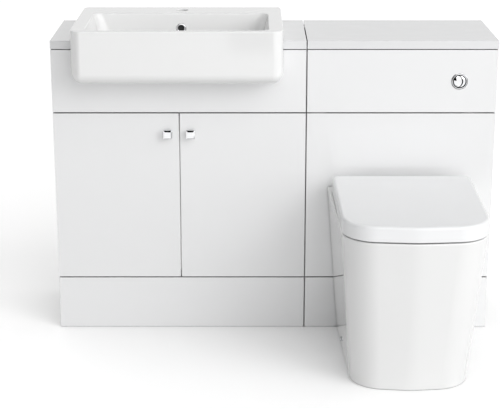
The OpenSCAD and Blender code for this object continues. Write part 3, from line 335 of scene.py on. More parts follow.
@dataclass(frozen=True)
class Glaze(Finish):
    """Fired glaze: long shallow waves where it flowed, and a few tiny pits."""

    pit: float = 9.0

    def height(self, net: Wiring, place: Socket, fine: Socket) -> Socket:
        """Adds pits to the glaze's waves."""
        cells = net.add("ShaderNodeTexVoronoi", {"Vector": place, "Scale": 1.0 / (self.pit * MM)})
        return net.calc("MULTIPLY", fine, net.spread(cells.outputs["Distance"], 0.0, 0.035))


@dataclass(frozen=True)
class Plated(Finish):
    """Plated metal: faint polishing lines that cross each other."""

    line: float = 0.5

    def height(self, net: Wiring, place: Socket, fine: Socket) -> Socket:
        """Adds the polishing lines to the metal's grain.

        Args:
            net: the material's tree.
            place: the socket with the place on the piece.
            fine: the socket with the grain's height.

        Returns:
            The socket with the height of both.
        """
        lines = net.add("ShaderNodeTexWave", {
            "Vector": place, "Scale": 1.0 / (self.line * MM) / 20.0, "Distortion": 6.0,
            "Detail": 3.0})
        return net.calc("ADD", fine, lines.outputs["Fac"])


# A joint above 0 paints shade into the colour inside gaps narrower than that, in millimetres.
GLOSS_FRONT = Finish("gloss_white_front", "front_board", (0.86, 0.862, 0.866),
                     (0.845, 0.848, 0.853), (0.13, 0.19), 160.0, 3.2, 0.02, coat=0.6, ior=1.62,
                     bump=0.1, joint=12.0)
# Worktops: the same gloss white board as the fronts, made darker as painted shade for the weaker
# light on their tops.
SHADED_GLOSS_TOP = Finish("gloss_white_top_shaded", "front_board", (0.79, 0.793, 0.80), (0.775, 0.779, 0.787),
                   (0.16, 0.22), 180.0, 2.8, 0.02, coat=0.3, bump=0.1, joint=10.0)
MELAMINE = Finish("white_melamine", "carcass_board", (0.83, 0.83, 0.825), (0.80, 0.80, 0.793),
                  (0.38, 0.5), 60.0, 0.9, 0.03, stretch=(1.0, 1.0, 0.35))
GLAZE = Glaze("white_glaze", "ceramic", (0.90, 0.901, 0.898), (0.885, 0.887, 0.885),
              (0.045, 0.08), 120.0, 26.0, 0.12, coat=0.5, bump=0.1, joint=8.0)
SEAT = Finish("pressed_white_seat", "seat_plastic", (0.92, 0.926, 0.933), (0.905, 0.912, 0.92),
              (0.11, 0.16), 140.0, 6.0, 0.02, coat=0.25, bump=0.1, joint=8.0)
CHROME = Plated("bright_chrome", "chrome", (0.90, 0.905, 0.915), (0.86, 0.866, 0.878),
                (0.035, 0.07), 30.0, 1.5, 0.004, metallic=1.0, bump=0.06, joint=3.5,
                shade=(0.34, 0.82))
ZINC = Plated("zinc_plated_steel", "steel", (0.70, 0.71, 0.72), (0.55, 0.56, 0.575),
              (0.24, 0.38), 9.0, 0.5, 0.02, metallic=1.0, bump=0.3, line=0.8)
PLASTIC = Finish("moulded_white_plastic", "white_plastic", (0.80, 0.80, 0.785),
                 (0.765, 0.765, 0.748), (0.32, 0.44), 45.0, 0.7, 0.03)
RUBBER = Finish("dark_rubber", "rubber", (0.045, 0.045, 0.047), (0.028, 0.028, 0.03),
                (0.55, 0.72), 12.0, 0.4, 0.05, bump=0.4)
CLEAR_DOT = Finish("soft_grey_pad", "rubber", (0.62, 0.63, 0.64), (0.55, 0.56, 0.57),
                   (0.3, 0.42), 12.0, 0.6, 0.03)


# ---------- mesh work ----------


def hull_ring(circles: list[Circle], counts: list[int], z: float) -> list[Point]:
    """Follows the outline round a convex row of circles, anticlockwise seen from above.

    Args:
        circles: centre X, centre Y and radius of each circle, in order round the outline.
        counts: how many points each circle's arc gets.
        z: height of the outline.

    Returns:
        The outline's points.
    """
    turn = []
    for (xa, ya, ra), (xb, yb, rb) in zip(circles, circles[1:] + circles[:1]):
        reach = max(math.hypot(xb - xa, yb - ya), 1e-6)
        lean = math.acos(max(-1.0, min(1.0, (ra - rb) / reach)))
        turn.append(math.atan2(yb - ya, xb - xa) - lean)
    points = []
    for i, (x, y, r) in enumerate(circles):
        start = turn[i - 1]
        sweep = (turn[i] - start) % (2 * math.pi)
        if sweep > 1.5 * math.pi:
            sweep = 0.0
        for k in range(counts[i]):
            angle = start + sweep * k / (counts[i] - 1)
            points.append((x + r * math.cos(angle), y + r * math.sin(angle), z))
    return points


def arc(radius: float, steps: int = 5) -> Profile:
    """Steps of a quarter round: how far each lies in from the side, and down from the top."""
    turns = [0.5 * math.pi * k / steps for k in range(steps + 1)]
    return [(radius * (1 - math.cos(t)), radius * (1 - math.sin(t))) for t in turns]


@dataclass(frozen=True)
class Plan:
    """An outline seen from above: corners at the back, and rounder corners at the front.

    With a bow, the front is a shallow arc that runs out in front of the corners.
    """

    x: float
    rear_half: float
    rear_y: float
    rear_r: float
    front_half: float
    front_y: float
    front_r: float
    bow: float = 0.0
    bow_r: float = 150.0
    fineness: int = 12

    def grown(self, by: float) -> "Plan":
        """Moves the whole outline outwards, or inwards by a negative distance.

        Args:
            by: the distance.

        Returns:
            The new outline.
        """
        return replace(self, rear_half=self.rear_half + by, rear_y=self.rear_y + by,
                       rear_r=max(self.rear_r + by, 0.4), front_half=self.front_half + by,
                       front_y=self.front_y - by, front_r=max(self.front_r + by, 0.4),
                       bow_r=max(self.bow_r + by, 0.4))

    def towards(self, other: "Plan", share: float) -> "Plan":
        """Mixes the outline with another one.

        Args:
            other: the other outline.
            share: 0 for this outline, 1 for the other.

        Returns:
            The outline between them.
        """
        names = ("rear_half", "rear_y", "rear_r", "front_half", "front_y", "front_r", "bow",
                 "bow_r")
        mixed = {n: getattr(self, n) * (1 - share) + getattr(other, n) * share for n in names}
        return replace(self, **mixed)

    def outline(self, z: float) -> list[Point]:
        """Gives the outline's points.

        Args:
            z: their height.

        Returns:
            The points.
        """
        side = self.front_half - self.front_r
        deep = self.front_y + self.bow + self.front_r
        back = self.rear_half - self.rear_r
        circles = [(self.x + back, self.rear_y - self.rear_r, self.rear_r),
                   (self.x - back, self.rear_y - self.rear_r, self.rear_r),
                   (self.x - side, deep, self.front_r)]
        counts = [self.fineness // 2 + 2, self.fineness // 2 + 2, self.fineness]
        if self.bow > 0:
            circles.append((self.x, self.front_y + self.bow_r, self.bow_r))
            counts.append(self.fineness)
        circles.append((self.x + side, deep, self.front_r))
        counts.append(self.fineness)
        return hull_ring(circles, counts, z)

    def stack(self, *levels: tuple[float, float]) -> Rings:
        """Gives the outline at several levels, each a distance outwards and a height."""
        return [self.grown(by).outline(z) for by, z in levels]

    def edge(self, radius: float, top: float, steps: int = 5) -> Rings:
        """Gives a rounded upper edge, from the side inwards to the top."""
        return self.stack(*[(-i, top - d) for i, d in arc(radius, steps)])

    def lip(self, radius: float, top: float, steps: int = 5) -> Rings:
        """Gives the rounded mouth of a hollow, from the top down to its side."""
        return self.stack(*[(i, top - d) for i, d in reversed(arc(radius, steps))])


def weld(mesh: bpy.types.Mesh, reach: float, outwards: bool = False) -> None:
    """Merges a mesh's doubles and takes out its slivers.

    Args:
        mesh: the mesh.
        reach: points closer than this become one, in metres.
        outwards: True to turn its faces outwards as well.
    """
    work = bmesh.new()
    work.from_mesh(mesh)
    bmesh.ops.remove_doubles(work, verts=work.verts, dist=reach)
    bmesh.ops.dissolve_degenerate(work, edges=work.edges, dist=reach)
    if outwards:
        bmesh.ops.recalc_face_normals(work, faces=work.faces)
    work.to_mesh(mesh)
    work.free()


def solid(name: str, points: list[Point], faces: list[tuple[int, ...]]) -> Piece:
    """Makes an object in metres of points in millimetres.

    Args:
        name: its name.
        points: the points.
        faces: the faces between them, if it has any.

    Returns:
        The object.
    """
    mesh = bpy.data.meshes.new(name)
    mesh.from_pydata([tuple(c * MM for c in p) for p in points], [], faces)
    return put(name, mesh)


class Shell:
    """A closed surface in the making: rings of points, and the faces between them."""

    def __init__(self) -> None:
        """Starts with no points."""
        self.points: list[Point] = []
        self.faces: list[tuple[int, ...]] = []

    def ring(self, points: list[Point]) -> list[int]:
        """Adds a ring of points.

        Args:
            points: the points.

        Returns:
            Their numbers.
        """
        start = len(self.points)
        self.points.extend(points)
        return list(range(start, len(self.points)))

    def skin(self, lower: list[int], upper: list[int]) -> None:
        """Closes the band between two rings of as many points.

        Args:
            lower: the numbers of one ring's points.
            upper: those of the other's.
        """
        count = len(lower)
        for i in range(count):
            j = (i + 1) % count
            self.faces.append((lower[i], lower[j], upper[j], upper[i]))

    def cap(self, ring: list[int]) -> None:
        """Closes a ring with a fan round its middle.

        Args:
            ring: the numbers of its points.
        """
        spots = [Vector(self.points[i]) for i in ring]
        middle = sum(spots, Vector()) / len(spots)
        hub = self.ring([tuple(middle)])[0]
        for i, j in zip(ring, ring[1:] + ring[:1]):
            self.faces.append((i, j, hub))

    def loft(self, rings: Rings, closed: bool = False) -> "Shell":
        """Lays a skin over rings in order.

        Args:
            rings: the rings' points, each with as many.
            closed: True where the last ring joins the first, as in a hoop.

        Returns:
            This shell.
        """
        laid = [self.ring(r) for r in rings]
        for lower, upper in zip(laid, laid[1:]):
            self.skin(lower, upper)
        if closed:
            self.skin(laid[-1], laid[0])
        else:
            self.cap(laid[0])
            self.cap(laid[-1])
        return self

    def make(self, name: str) -> Piece:
        """Turns the shell into an object, with its seams merged and its faces outwards.

        Args:
            name: name of the object.

        Returns:
            The object.
        """
        piece = solid(name, self.points, self.faces)
        weld(piece.data, SEAM, outwards=True)
        return piece


def lofted(name: str, rings: Rings, closed: bool = False) -> Piece:
    """Makes a solid of rings in order; where it is closed, the last one joins the first."""
    return Shell().loft(rings, closed).make(name)


def turned(name: str, axis: Axis, centre: Point, profile: Profile, hoop: bool = False,
           steps: int = 64) -> Piece:
    """Turns a profile round an axis, as on a lathe.

    Args:
        name: name of the piece.
        axis: the axis's direction.
        centre: the point from which the profile's heights are measured.
        profile: radius and height of each point, in order.
        hoop: True for a ring, whose profile goes round and closes.
        steps: how many sides the round has.

    Returns:
        The piece.
    """
    rings = []
    for radius, height in profile:
        ring = []
        for k in range(steps):
            angle = 2 * math.pi * k / steps
            a, b = max(radius, 0.01) * math.cos(angle), max(radius, 0.01) * math.sin(angle)
            spot = {Axis.X: (height, a, b), Axis.Y: (a, height, b), Axis.Z: (a, b, height)}[axis]
            ring.append(tuple(c + s for c, s in zip(centre, spot)))
        rings.append(ring)
    return lofted(name, rings, hoop)


def bar(axis: Axis, centre: Point, start: float, end: float, diameter: float) -> Piece:
    """Makes a round bar whose ends lie at two distances from a centre."""
    return turned("bar", axis, centre, [(diameter / 2, start), (diameter / 2, end)])


def box(low: Point, high: Point) -> Piece:
    """Makes a square block between two corners."""
    base = [(low[0], low[1]), (high[0], low[1]), (high[0], high[1]), (low[0], high[1])]
    return lofted("block", [[(x, y, z) for x, y in base] for z in (low[2], high[2])])


def bake(piece: Piece) -> Piece:
    """Turns a piece's modifiers into plain mesh and takes them off.

    Args:
        piece: the piece.

    Returns:
        The same piece.
    """
    bpy.context.view_layer.update()
    graph = bpy.context.evaluated_depsgraph_get()
    mesh = bpy.data.meshes.new_from_object(piece.evaluated_get(graph),
                                           preserve_all_data_layers=True, depsgraph=graph)
    piece.modifiers.clear()
    piece.data = mesh
    return piece


def modified(piece: Piece, kind: str, **settings: object) -> Piece:
    """Works on a piece with one modifier, and bakes it.

    Args:
        piece: the piece.
        kind: the modifier's type.
        settings: its settings.

    Returns:
        The same piece.
    """
    work = piece.modifiers.new("work", kind)
    for name, value in settings.items():
        setattr(work, name, value)
    return bake(piece)


def carve(piece: Piece, how: Cut, *tools: Piece) -> Piece:
    """Cuts, joins or shares a piece with other solids, which are used up.

    Args:
        piece: the piece that is worked on.
        how: what the solids do to it.
        tools: the solids.

    Returns:
        The same piece.
    """
    for tool in tools:
        modified(piece, "BOOLEAN", operation=how.value, solver="EXACT", object=tool)
        bpy.data.objects.remove(tool)
    return piece


def rounded(piece: Piece, radius: float, angle: float) -> Piece:
    """Rounds a piece's edges by a radius in millimetres, where they are sharper than an angle."""
    return modified(piece, "BEVEL", width=radius * MM, segments=3, limit_method="ANGLE",
                    angle_limit=math.radians(angle))


def smooth(piece: Piece, angle: float = 32.0) -> Piece:
    """Shades a piece smoothly up to an angle, with its flat faces kept flat.

    Args:
        piece: the piece.
        angle: edges sharper than this stay sharp, in degrees.

    Returns:
        The same piece.
    """
    weld(piece.data, 2 * SEAM)
    for face in piece.data.polygons:
        face.use_smooth = True
    piece.data.set_sharp_from_angle(angle=math.radians(angle))
    return modified(piece, "WEIGHTED_NORMAL", keep_sharp=True, weight=80)


def finish(piece: Piece, look: Finish, *nodes: str, body: Body = Body.ROOT) -> None:
    """Gives a piece its material and its place among the moving bodies.

    Args:
        piece: the finished mesh.
        look: its finish.
        nodes: the CAD nodes that it stands for.
        body: the body that it rides on.
    """
    piece.data.materials.clear()
    piece.data.materials.append(look.material())
    for face in piece.data.polygons:
        face.material_index = 0
    if nodes:
        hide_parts(*nodes)
    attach(piece, body.value)
    log.info("%s: %d faces on %s", piece.name, len(piece.data.polygons), body.value)


def eased(node: str, edge: float) -> Piece:
    """Copies a CAD node as one joined mesh and rounds its sharp edges a little.

    Args:
        node: name of the CAD node.
        edge: radius of its edges in millimetres.

    Returns:
        The piece, with no material yet.
    """
    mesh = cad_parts[node].data.copy()
    work = bmesh.new()
    work.from_mesh(mesh)
    bmesh.ops.remove_doubles(work, verts=work.verts, dist=SEAM)
    bmesh.ops.dissolve_limit(work, angle_limit=FLAT_ANGLE, verts=work.verts, edges=work.edges,
                             delimit=set())
    work.to_mesh(mesh)
    work.free()
    for layer in [a.name for a in mesh.attributes if a.name in ("custom_normal", "sharp_edge")]:
        mesh.attributes.remove(mesh.attributes[layer])
    piece = put(node + "_piece", mesh)
    return smooth(rounded(piece, edge, 30.0) if edge > 0 else piece)


def parts(look: Finish, edge: float, *nodes: str, body: Body = Body.ROOT) -> None:
    """Gives eased copies of CAD nodes that keep their shape the same finish and body."""
    for node in nodes:
        finish(eased(node, edge), look, node, body=body)


# ---------- repeated pieces, by geometry nodes ----------


class Graph(Wiring):
    """A geometry node tree in the making, with named sizes on its modifier."""

    def __init__(self, name: str, **sizes: Size) -> None:
        """Starts the tree.

        Args:
            name: the tree's name.
            sizes: name and kind of each size that its modifier takes.
        """
        super().__init__(bpy.data.node_groups.new(name, "GeometryNodeTree"))
        face = self.tree.interface
        face.new_socket(name="Spots", in_out="INPUT", socket_type="NodeSocketGeometry")
        self.keys = {label: face.new_socket(name=label, in_out="INPUT",
                                            socket_type=kind.value).identifier
                     for label, kind in {**sizes, "Finish": Size.FINISH}.items()}
        face.new_socket(name="Result", in_out="OUTPUT", socket_type="NodeSocketGeometry")
        self.source = self.tree.nodes.new("NodeGroupInput")

    def size(self, label: str) -> Socket:
        """Gives the socket of one of the tree's inputs."""
        return self.source.outputs[label]

    def close(self, shape: Socket, **more: Socket) -> None:
        """Ends the tree: sets the shape on each point, makes it real and gives it the finish.

        Args:
            shape: what is set on the points.
            more: further inputs of the node that sets it.
        """
        place = self.add("GeometryNodeInstanceOnPoints",
                         {"Points": self.size("Spots"), "Instance": shape, **more})
        real = self.add("GeometryNodeRealizeInstances", {0: place.outputs[0]})
        done = self.add("GeometryNodeSetMaterial",
                        {"Geometry": real.outputs[0], "Material": self.size("Finish")})
        self.add("NodeGroupOutput", {0: done.outputs[0]})

    def grow(self, name: str, spots: list[Point], look: Finish, body: Body,
             **sizes: object) -> None:
        """Runs the tree on a few points, bakes the result and finishes it.

        Args:
            name: name of the new piece.
            spots: the points, in millimetres.
            look: its finish.
            body: the body that it rides on.
            sizes: a value for each named size.
        """
        piece = solid(name, spots, [])
        run = piece.modifiers.new(name, "NODES")
        run.node_group = self.tree
        for label, value in {**sizes, "Finish": look.material()}.items():
            run[self.keys[label]] = value
        finish(smooth(bake(piece), 40.0), look, body=body)


class ScrewHeads(Graph):
    """Domed screw heads with a cross recess, one at each point."""

    def __init__(self) -> None:
        """Builds the tree: a dome less two crossed slots, placed on the points."""
        super().__init__("screw_heads", Radius=Size.LENGTH, Height=Size.LENGTH, Turn=Size.PLACE)
        radius, height = self.size("Radius"), self.size("Height")
        dome = self.add("GeometryNodeMeshUVSphere", {"Segments": 24, "Rings": 12, "Radius": 1.0})
        shaped = self.add("GeometryNodeTransform", {
            "Geometry": dome.outputs["Mesh"], "Scale": self.vector(X=radius, Y=radius, Z=height)})
        cut = self.add("GeometryNodeMeshBoolean", {0: shaped.outputs[0]}, operation="DIFFERENCE",
                       solver="EXACT")
        wide, long = (self.calc("MULTIPLY", radius, share) for share in (0.28, 1.25))
        for x, y in ((wide, long), (long, wide)):
            cube = self.add("GeometryNodeMeshCube", {"Size": self.vector(X=x, Y=y, Z=height)})
            slot = self.add("GeometryNodeTransform", {"Geometry": cube.outputs["Mesh"],
                                                      "Translation": self.vector(Z=height)})
            self.wire(cut, {1: slot.outputs[0]})
        self.close(cut.outputs[0], Rotation=self.size("Turn"))

    def make(self, name: str, spots: list[Point], radius: float, height: float, turn: Point,
             body: Body = Body.ROOT) -> None:
        """Sets zinc screw heads.

        Args:
            name: name of the piece.
            spots: middle of each head's seat.
            radius: the heads' radius.
            height: how far they stand out.
            turn: rotation that takes Z to the direction in which the heads look.
            body: the body that they ride on.
        """
        self.grow(name, spots, ZINC, body, Radius=radius * MM, Height=height * MM, Turn=turn)


class GripRibs(Graph):
    """Upright ribs round a nut or a cup, for fingers to turn it."""

    def __init__(self) -> None:
        """Builds the tree: blocks on the points of a circle, each turned to face outwards."""
        super().__init__("grip_ribs", Ribs=Size.COUNT, Radius=Size.LENGTH, Width=Size.LENGTH,
                         Depth=Size.LENGTH, Height=Size.LENGTH)
        ring = self.add("GeometryNodeMeshCircle", {"Vertices": self.size("Ribs"),
                                                   "Radius": self.size("Radius")})
        block = self.vector(X=self.size("Depth"), Y=self.size("Width"), Z=self.size("Height"))
        rib = self.add("GeometryNodeMeshCube", {"Size": block, "Vertices X": 2, "Vertices Y": 3,
                                                "Vertices Z": 2})
        number = self.add("GeometryNodeInputIndex", {})
        share = self.calc("DIVIDE", number.outputs[0], self.size("Ribs"))
        turn = self.vector(Z=self.calc("MULTIPLY", share, 2 * math.pi))
        round_it = self.add("GeometryNodeInstanceOnPoints", {
            "Points": ring.outputs["Mesh"], "Instance": rib.outputs["Mesh"], "Rotation": turn})
        real = self.add("GeometryNodeRealizeInstances", {0: round_it.outputs[0]})
        self.close(real.outputs[0])

    def make(self, name: str, spots: list[Point], count: int, radius: float, height: float,
             look: Finish) -> None:
        """Sets rings of ribs.

        Args:
            name: name of the piece.
            spots: middle of each ring.
            count: how many ribs a ring has.
            radius: radius of the part that carries them.
            height: the ribs' height.
            look: their finish.
        """
        self.grow(name, spots, look, Body.ROOT, Ribs=count, Radius=(radius - 0.4) * MM,
                  Width=2.2 * MM, Depth=2.4 * MM, Height=height * MM)


class Threads(Graph):
    """The raised thread round a pipe's tail: a wire that winds up it."""

    def __init__(self) -> None:
        """Builds the tree: a spiral curve swept with a small square."""
        super().__init__("threads", Radius=Size.LENGTH, Turns=Size.LENGTH, Length=Size.LENGTH)
        wind = self.add("GeometryNodeCurveSpiral", {
            "Resolution": 28, "Rotations": self.size("Turns"),
            "Start Radius": self.size("Radius"), "End Radius": self.size("Radius"),
            "Height": self.size("Length")})
        wire = self.add("GeometryNodeCurvePrimitiveCircle",
                        {"Resolution": 4, "Radius": 0.6 * MM})
        swept = self.add("GeometryNodeCurveToMesh", {
            "Curve": wind.outputs[0], "Profile Curve": wire.outputs[0], "Fill Caps": True})
        self.close(swept.outputs[0])

    def make(self, name: str, spot: Point, radius: float, length: float, pitch: float,
             look: Finish) -> None:
        """Winds a thread upwards from a point.

        Args:
            name: name of the piece.
            spot: the foot of the thread, on the pipe's axis.
            radius: the pipe's radius.
            length: the thread's length.
            pitch: distance between turns.
            look: its finish.
        """
        self.grow(name, [spot], look, Body.ROOT, Radius=radius * MM, Turns=length / pitch,
                  Length=length * MM)


# ---------- the unit ----------


@dataclass
class Cabinets:
    """Both cabinets: their boards, fronts, worktops, plinths and clips."""

    front_edge: float = 0.9
    board_edge: float = 0.4
    clip_z: tuple[float, float] = (228.0, 525.0)
    clip_x: tuple[float, float] = (104.0, 566.0)
    clip_y: float = 130.0

    def build(self, screws: ScrewHeads) -> None:
        """Builds every board and the clips' screws.

        Args:
            screws: the maker of screw heads.
        """
        parts(GLOSS_FRONT, self.front_edge, "basin_fascia", "basin_plinth", "wc_fascia",
              "wc_access_panel", "wc_plinth")
        parts(SHADED_GLOSS_TOP, self.front_edge, "basin_worktop", "wc_worktop")
        parts(MELAMINE, self.board_edge, "basin_unit_left_side", "basin_unit_right_side",
              "basin_unit_base", "basin_unit_wall_rail", "basin_unit_front_rail",
              "wc_unit_left_side", "wc_unit_right_side", "wc_unit_wall_rail",
              "wc_unit_floor_rail")
        parts(PLASTIC, 0.5, "panel_clips")
        for x, facing in zip(self.clip_x, (1.0, -1.0)):
            screws.make(f"clip_screws_{x:.0f}", [(x, self.clip_y, z) for z in self.clip_z],
                        3.0, 1.4, (0, facing * math.pi / 2, 0))


@dataclass
class Door:
    """One door: its panel, knob, screw and hinge cups."""

    side: str
    body: Body
    knob_x: float
    cup_x: float
    knob_z: float = 552.0
    face_y: float = 88.0
    back_y: float = 106.0
    head: float = 23.0
    neck: float = 13.0
    thick: float = 12.0
    projection: float = 22.0
    cup_z: tuple[float, float] = (218.0, 535.0)
    cup_dz: float = 21.0

    def build(self, screws: ScrewHeads) -> None:
        """Builds the door and all that moves with it.

        Args:
            screws: the maker of screw heads.
        """
        parts(GLOSS_FRONT, 0.9, f"{self.side}_door", body=self.body)
        parts(ZINC, 0.3, f"{self.side}_knob_screw", body=self.body)
        parts(ZINC, 0.2, f"{self.side}_hinge_cups", body=self.body)
        finish(self.knob(), CHROME, f"{self.side}_knob", body=self.body)
        spots = [(self.cup_x, self.back_y + 1.0, z + dz) for z in self.cup_z
                 for dz in (-self.cup_dz, self.cup_dz)]
        screws.make(f"{self.side}_cup_screws", spots, 3.2, 1.3, (-math.pi / 2, 0, 0), self.body)

    def knob(self) -> Piece:
        """Makes the square knob: a softly pillowed head on a square neck that flares at its foot.

        Returns:
            The knob.
        """
        front, deep = self.face_y - self.projection, self.thick
        half, neck = self.head / 2, self.neck / 2
        profile = [(half - 9.5, 0.0, 0.4), (half - 7.0, 0.08, 0.4), (half - 4.8, 0.25, 0.4),
                   (half - 3.4, 0.42, 0.4), (half - 3.3, 0.46, 0.4), (half - 0.1, 3.08, 0.8),
                   (half, 3.3, 0.9), (half, deep - 1.2, 0.9), (half - 0.35, deep - 0.35, 0.9),
                   (half - 1.2, deep, 0.8), (neck + 1.6, deep, 1.4),
                   (neck + 0.5, deep + 0.5, 1.2), (neck, deep + 1.6, 1.2), (neck, 19.0, 1.2),
                   (neck, self.projection, 1.2)]
        rings = []
        for size, depth, corner in profile:
            flat = hull_ring([(sx * (size - corner), sz * (size - corner), corner)
                              for sx, sz in ((1, 1), (-1, 1), (-1, -1), (1, -1))], [7] * 4, 0.0)
            rings.append([(self.knob_x + a, front + depth, self.knob_z + b) for a, b, _ in flat])
        return smooth(lofted(f"{self.side}_square_knob", rings), 25.0)


@dataclass
class Doors:
    """The pair of doors, with the hinge arms and pads that stay on the cabinet."""

    left: Door = field(default_factory=lambda: Door("left", Body.LEFT_DOOR, -280.0, -554.0))
    right: Door = field(default_factory=lambda: Door("right", Body.RIGHT_DOOR, -220.0, 54.0))
    plate_x: tuple[float, float] = (-562.5, 62.5)
    plate_y: tuple[float, float] = (130.0, 156.0)
    plate_dz: float = 18.0

    def build(self, screws: ScrewHeads) -> None:
        """Builds both doors, their arms, plate screws and pads.

        Args:
            screws: the maker of screw heads.
        """
        for door, plate, facing in zip((self.left, self.right), self.plate_x, (1.0, -1.0)):
            door.build(screws)
            parts(ZINC, 0.35, f"{door.side}_hinge_arms")
            spots = [(plate, y, z + dz) for z in door.cup_z for y in self.plate_y
                     for dz in (-self.plate_dz, self.plate_dz)]
            screws.make(f"{door.side}_plate_screws", spots, 3.0, 1.4,
                        (0, facing * math.pi / 2, 0))
        parts(CLEAR_DOT, 0.8, "door_buffers")


@dataclass
class Basin:
    """The semi-recessed basin, with its waste, overflow ring and trap."""

    x: float = -250.0
    half: float = 271.5
    front_y: float = -7.0
    rear_y: float = 358.0
    foot_z: float = 701.0
    top_z: float = 841.0
    rim_z: float = 799.0
    face_y: float = 87.5
    edge_r: float = 30.0
    lip_r: float = 3.0
    bowl_z: float = 725.0
    waste_y: float = 172.0
    tap_y: float = 311.0
    seat_z: float = 721.0
    overflow_z: float = 800.0

    def block(self) -> Piece:
        """Makes the outside: the front box with rounded lower edges, and the rim's soft lip.

        Returns:
            The solid.
        """
        plan = Plan(self.x, self.half, self.rear_y, 12.0, self.half, self.front_y, 28.0)
        under = [(-i, self.foot_z + d) for i, d in reversed(arc(self.edge_r, 10))]
        rings = plan.stack((-self.edge_r - 20, self.foot_z), *under, (0, self.top_z - 22))
        rings += plan.edge(self.lip_r, self.top_z)
        rings += plan.stack((-self.lip_r - 6, self.top_z))
        return lofted("basin_body", rings)

    def bowl(self) -> Piece:
        """Makes the hollow of the bowl, flared at its mouth and rounded into its floor.

        Returns:
            The solid.
        """
        mouth = Plan(self.x, 234.5, 264.0, 24.0, 234.5, 12.0, 24.0)
        floor = Plan(self.x, 204.5, 256.0, 45.0, 204.5, 40.0, 45.0)
        top, depth = self.top_z, self.top_z - self.bowl_z
        rings = mouth.stack((4.0, top + 6)) + mouth.lip(4.0, top)
        for share in (0.12, 0.24, 0.36, 0.48, 0.6, 0.72):
            rings += mouth.towards(floor, share).stack((0, top - depth * share))
        straight, steps = 0.8, 8
        for k in range(steps + 1):
            turn = 0.5 * math.pi * k / steps
            rest = (1 - straight) * math.sin(turn)
            plan = mouth.towards(floor, straight + 0.5 * rest)
            rings += plan.stack((-14 * (1 - math.cos(turn)), top - depth * (straight + rest)))
        return lofted("bowl", rings)

    def ceramic(self) -> Piece:
        """Makes the whole casting.

        Returns:
            The basin.
        """
        piece = self.block()
        x, y, over = self.x, self.waste_y, self.overflow_z
        # Behind the fascia the block ends at the rim, and a narrower body hangs in the cabinet.
        carve(piece, Cut.AWAY, box((x - 300, self.face_y, 690), (x + 300, 400, self.rim_z)))
        carve(piece, Cut.JOIN, box((x - 250.5, self.face_y - 1, 711),
                                   (x + 250.5, 345, self.rim_z + 1)))
        dish = turned("dish", Axis.Z, (x, y, 0),
                      [(0, 720.9), (32.5, 720.9), (33.5, 721.3), (46, 722.3), (60, 723.7),
                       (76, 725.2), (76, 727)], steps=80)
        carve(piece, Cut.AWAY, self.bowl(), dish,
              bar(Axis.Z, (x, y, 0), 700, 760, 46.0),
              turned("tap_hole", Axis.Z, (x, self.tap_y, 0),
                     [(0, 700), (17.5, 700), (17.5, 839.4), (17.9, 840.4), (18.8, 841.2),
                      (18.8, 850), (0, 850)]),
              bar(Axis.Z, (x, self.tap_y, 0), 700, 817, 50.0))
        # A pocket under the deck on either side of the tap, and the overflow with its channel.
        for side in (-1, 1):
            low, high = sorted((x + side * 34, x + side * 236.5))
            carve(piece, Cut.AWAY, box((low, 278, 700), (high, 331, 817)))
        carve(piece, Cut.AWAY, bar(Axis.Y, (x, 0, over), 230, 262.1, 28.0),
              bar(Axis.Y, (x, 0, over), 255, 275, 20.6), bar(Axis.Z, (x, 275, 0), 716, over, 12.0))
        piece.name = "basin_casting"
        return smooth(piece, 30.0)

    def build(self, ribs: GripRibs, threads: Threads) -> None:
        """Builds the basin and the fittings that hang from it.

        Args:
            ribs: the maker of grip ribs.
            threads: the maker of threads.
        """
        x, y, over = self.x, self.waste_y, self.overflow_z
        finish(self.ceramic(), GLAZE, "basin")
        ring = turned("overflow_trim", Axis.Y, (x, 259.6, over),
                      [(8.5, 8.5), (8.5, 1.4), (8.9, 0.5), (9.8, 0.0), (11.4, 0.1), (12.6, 0.7),
                       (13.3, 1.6), (13.5, 2.5), (10, 2.5), (10, 8.5)], hoop=True)
        finish(smooth(ring, 40.0), CHROME, "overflow_ring")
        # A dark sleeve with a closed back sits inside the overflow ring: painted shade for the
        # depth of the hole.
        shade_liner = turned("overflow_shade_liner", Axis.Y, (x, 0, over),
                        [(8.35, 262.0), (8.35, 268.6), (0, 268.6), (0, 267.8), (7.7, 267.8),
                         (7.7, 262.0)], hoop=True)
        finish(smooth(shade_liner, 40.0), RUBBER)
        parts(CHROME, 0.4, "basin_waste")
        plug = turned("waste_cap", Axis.Z, (x, y, self.seat_z + 3.3),
                      [(0, -32.9), (2.6, -32.9), (3, -32.5), (3, 0), (29.2, 0), (30, 0.7),
                       (30, 1.8), (29.3, 2.8), (27.6, 3.3), (22, 3.7), (12, 3.95), (0, 4)])
        finish(smooth(plug, 40.0), CHROME, "waste_plug", body=Body.PLUG)
        parts(RUBBER, 0.8, "waste_seal")
        parts(CHROME, 0.8, "waste_backnut")
        parts(PLASTIC, 0.8, "trap_body", "trap_bottle", "trap_outlet_pipe")
        threads.make("waste_thread", (x, y, 663), 19.3, 30.0, 2.0, CHROME)
        ribs.make("trap_cup_ribs", [(x, y, 579.0)], 40, 37.0, 19.0, PLASTIC)


